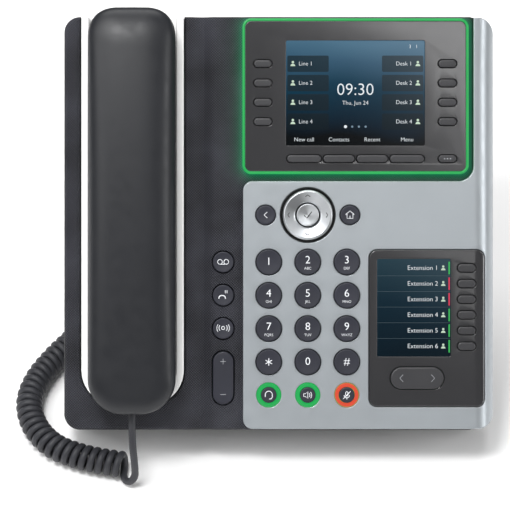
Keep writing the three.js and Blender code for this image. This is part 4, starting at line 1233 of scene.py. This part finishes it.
def handset_outline(inset):
    """Points round the handset, close together along its straight sides."""
    half = HANDSET["width"] / 2 - inset
    low, high = HANDSET["foot"] + inset, HANDSET["head"] - inset
    chin, brow = HANDSET["chin"] - inset, HANDSET["brow"] - inset
    x = CRADLE["x"]
    side = [low + chin + (high - brow - low - chin) * step / 60 for step in range(1, 60)]
    return (
        arc(x + half - chin, low + chin, chin, 270, 360, 16) + [(x + half, y) for y in side]
        + brow_corner(x, half, high, brow, 1) + brow_corner(x, half, high, brow, -1)[::-1]
        + [(x - half, y) for y in reversed(side)] + arc(x - half + chin, low + chin, chin, 180, 270, 16)
    )


def towards_spine(outline, share):
    """The outline drawn in towards the handset's middle line by a share of the way."""
    reach = HANDSET["width"] / 2
    low, high = HANDSET["foot"] + reach, HANDSET["head"] - reach
    return [(x + (CRADLE["x"] - x) * share, y + (min(max(y, low), high) - y) * share) for x, y in outline]


def smooth_between(points, at):
    """A value between stated (place, value) pairs, with level tangents at each of them."""
    for (x0, y0), (x1, y1) in zip(points, points[1:]):
        if at <= x1:
            share = min(1, max(0, (at - x0) / (x1 - x0)))
            return y0 + (y1 - y0) * share * share * (3 - 2 * share)
    return points[-1][1]


def handset_shell():
    """The back of the handset: a soft rolled edge that runs up to a gently domed crown."""
    split, top = HANDSET["split"], HANDSET["top"]
    outline = handset_outline(0)
    middle, half = (HANDSET["foot"] + HANDSET["head"]) / 2, (HANDSET["head"] - HANDSET["foot"]) / 2
    wall, swell = split + 5, top - split - 5
    rings = [[(x, y, split) for x, y in outline], [(x, y, wall - 1) for x, y in outline]]
    for step in range(1, 25):
        share = 1 - math.cos(math.radians(90 * step / 24))
        rise = swell * (1 - (1 - share) ** 2.7) ** (1 / 2.7)
        ring = towards_spine(outline, share)
        rings.append([(x, y, wall + rise * (1 - 0.36 * ((y - middle) / half) ** 2)) for x, y in ring])
    inner = handset_outline(2.2)
    under = [[(x, y, split) for x, y in inner], [(x, y, split + 4) for x, y in inner]]
    under += [[(x, y, wall + 2) for x, y in towards_spine(inner, share)] for share in (0.3, 1.0)]
    mesh = loft(rings[::-1] + under, close_ends=False)
    keep("handset_back", in_row(mesh), SMOOTH_DARK, "handset", "handset_outer_shell", 50)


def handset_front():
    """The side that faces the head: deep at the ear and the mouth, arched at the grip."""
    outline = handset_outline(1.3)
    edge = HANDSET["split"] - GAP

    def at_share(share, rise):
        return [(x, y, smooth_between(EAR_SIDE, y) + rise) for x, y in towards_spine(outline, share)]

    rings = [[(x, y, edge) for x, y in outline], at_share(0, 3.5), at_share(0.03, 1.8), at_share(0.09, 0.7),
             at_share(0.17, 0.15), at_share(0.3, 0), at_share(0.65, 0), at_share(1, 0)]
    inner = handset_outline(3.5)
    inside = [[(x, y, edge) for x, y in inner], [(x, y, edge - 3) for x, y in inner],
              [(x, y, edge - 3) for x, y in towards_spine(inner, 1)]]
    mesh = loft(rings[::-1] + inside, close_ends=False)
    keep("handset_front", in_row(mesh), SMOOTH_DARK, "handset", "handset_inner_shell", 50)
    x = CRADLE["x"]
    pitch, radius, ear = SOUND_HOLES["pitch"], SOUND_HOLES["radius"], SOUND_HOLES["ear"]
    beside = SOUND_HOLES["rows"]
    rows = [(ear, 3), (SOUND_HOLES["mouth"], 1), (ear - beside, 2), (ear + beside, 2)]
    places = [(pitch * step, y) for y, reach in rows for step in range(-reach, reach + 1)]
    # Black discs stand in for the sound holes; their black is painted shade, the dark inside the holes.
    painted_hole_shade_discs = [turned(x + dx, y, [(0, -9.1), (radius, -9.1), (radius, -8.2), (0, -8.2)], 20) for dx,
             y in places]
    keep("sound_holes", in_row(merged(*painted_hole_shade_discs)), BLACK, "handset", ())


# ---- The rest ----
def other_pieces():
    for node, width, material, slot in (
            ("stand", 2.0, REAR_PLASTIC, "dark_housing"), ("port_block", 0.3, BLACK, "black_rubber"),
            ("cord_plug_base", 0.4, CLEAR, "clear_plastic"), ("main_board", 0, BOARD, "circuit_board"),
            ("keypad_mat", 0, RUBBER, "black_rubber"), ("loudspeaker", 0, STEEL, "satin_metal")):
        shell_from_cad(node, width, material, "root")
    for node, width, material, slot in (
            ("cord_plug_handset", 0.4, CLEAR, "clear_plastic"),
            ("handset_receiver", 0, STEEL, "satin_metal"),
            ("handset_microphone", 0, STEEL, "satin_metal")):
        shell_from_cad(node, width, material, "handset")
    plunger = turned(CRADLE["x"], 166, [
        (0, -19), (4.5, -19), (4.5, -17.8), (3, -17.8), (3, -10.1), (2.7, -9.4), (2, -9.1), (0, -9.05)], 48)
    keep("hook_plunger_pin", in_row(plunger), KEY, "hook", "hook_plunger")
    for node in ("front_foot", "rear_foot"):
        low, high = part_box(node)
        x, y = (low.x + high.x) / 2, (low.y + high.y) / 2
        foot = panel(rounded(x / MM, y / MM, (high.x - low.x) / MM, (high.y - low.y) / MM, 4),
                     low.z / MM, high.z / MM, edge=0.8)
        foot.transform(Matrix.Scale(MM, 4))
        keep(node + "_pad", foot, RUBBER, "root", node, 50)


camera()
studio()
front_housing()
faceplate()
rear_housing()
cradle()
displays()
screen_pictures()
keys()
navigation()
handset_shell()
handset_front()
other_pieces()
build_cord()
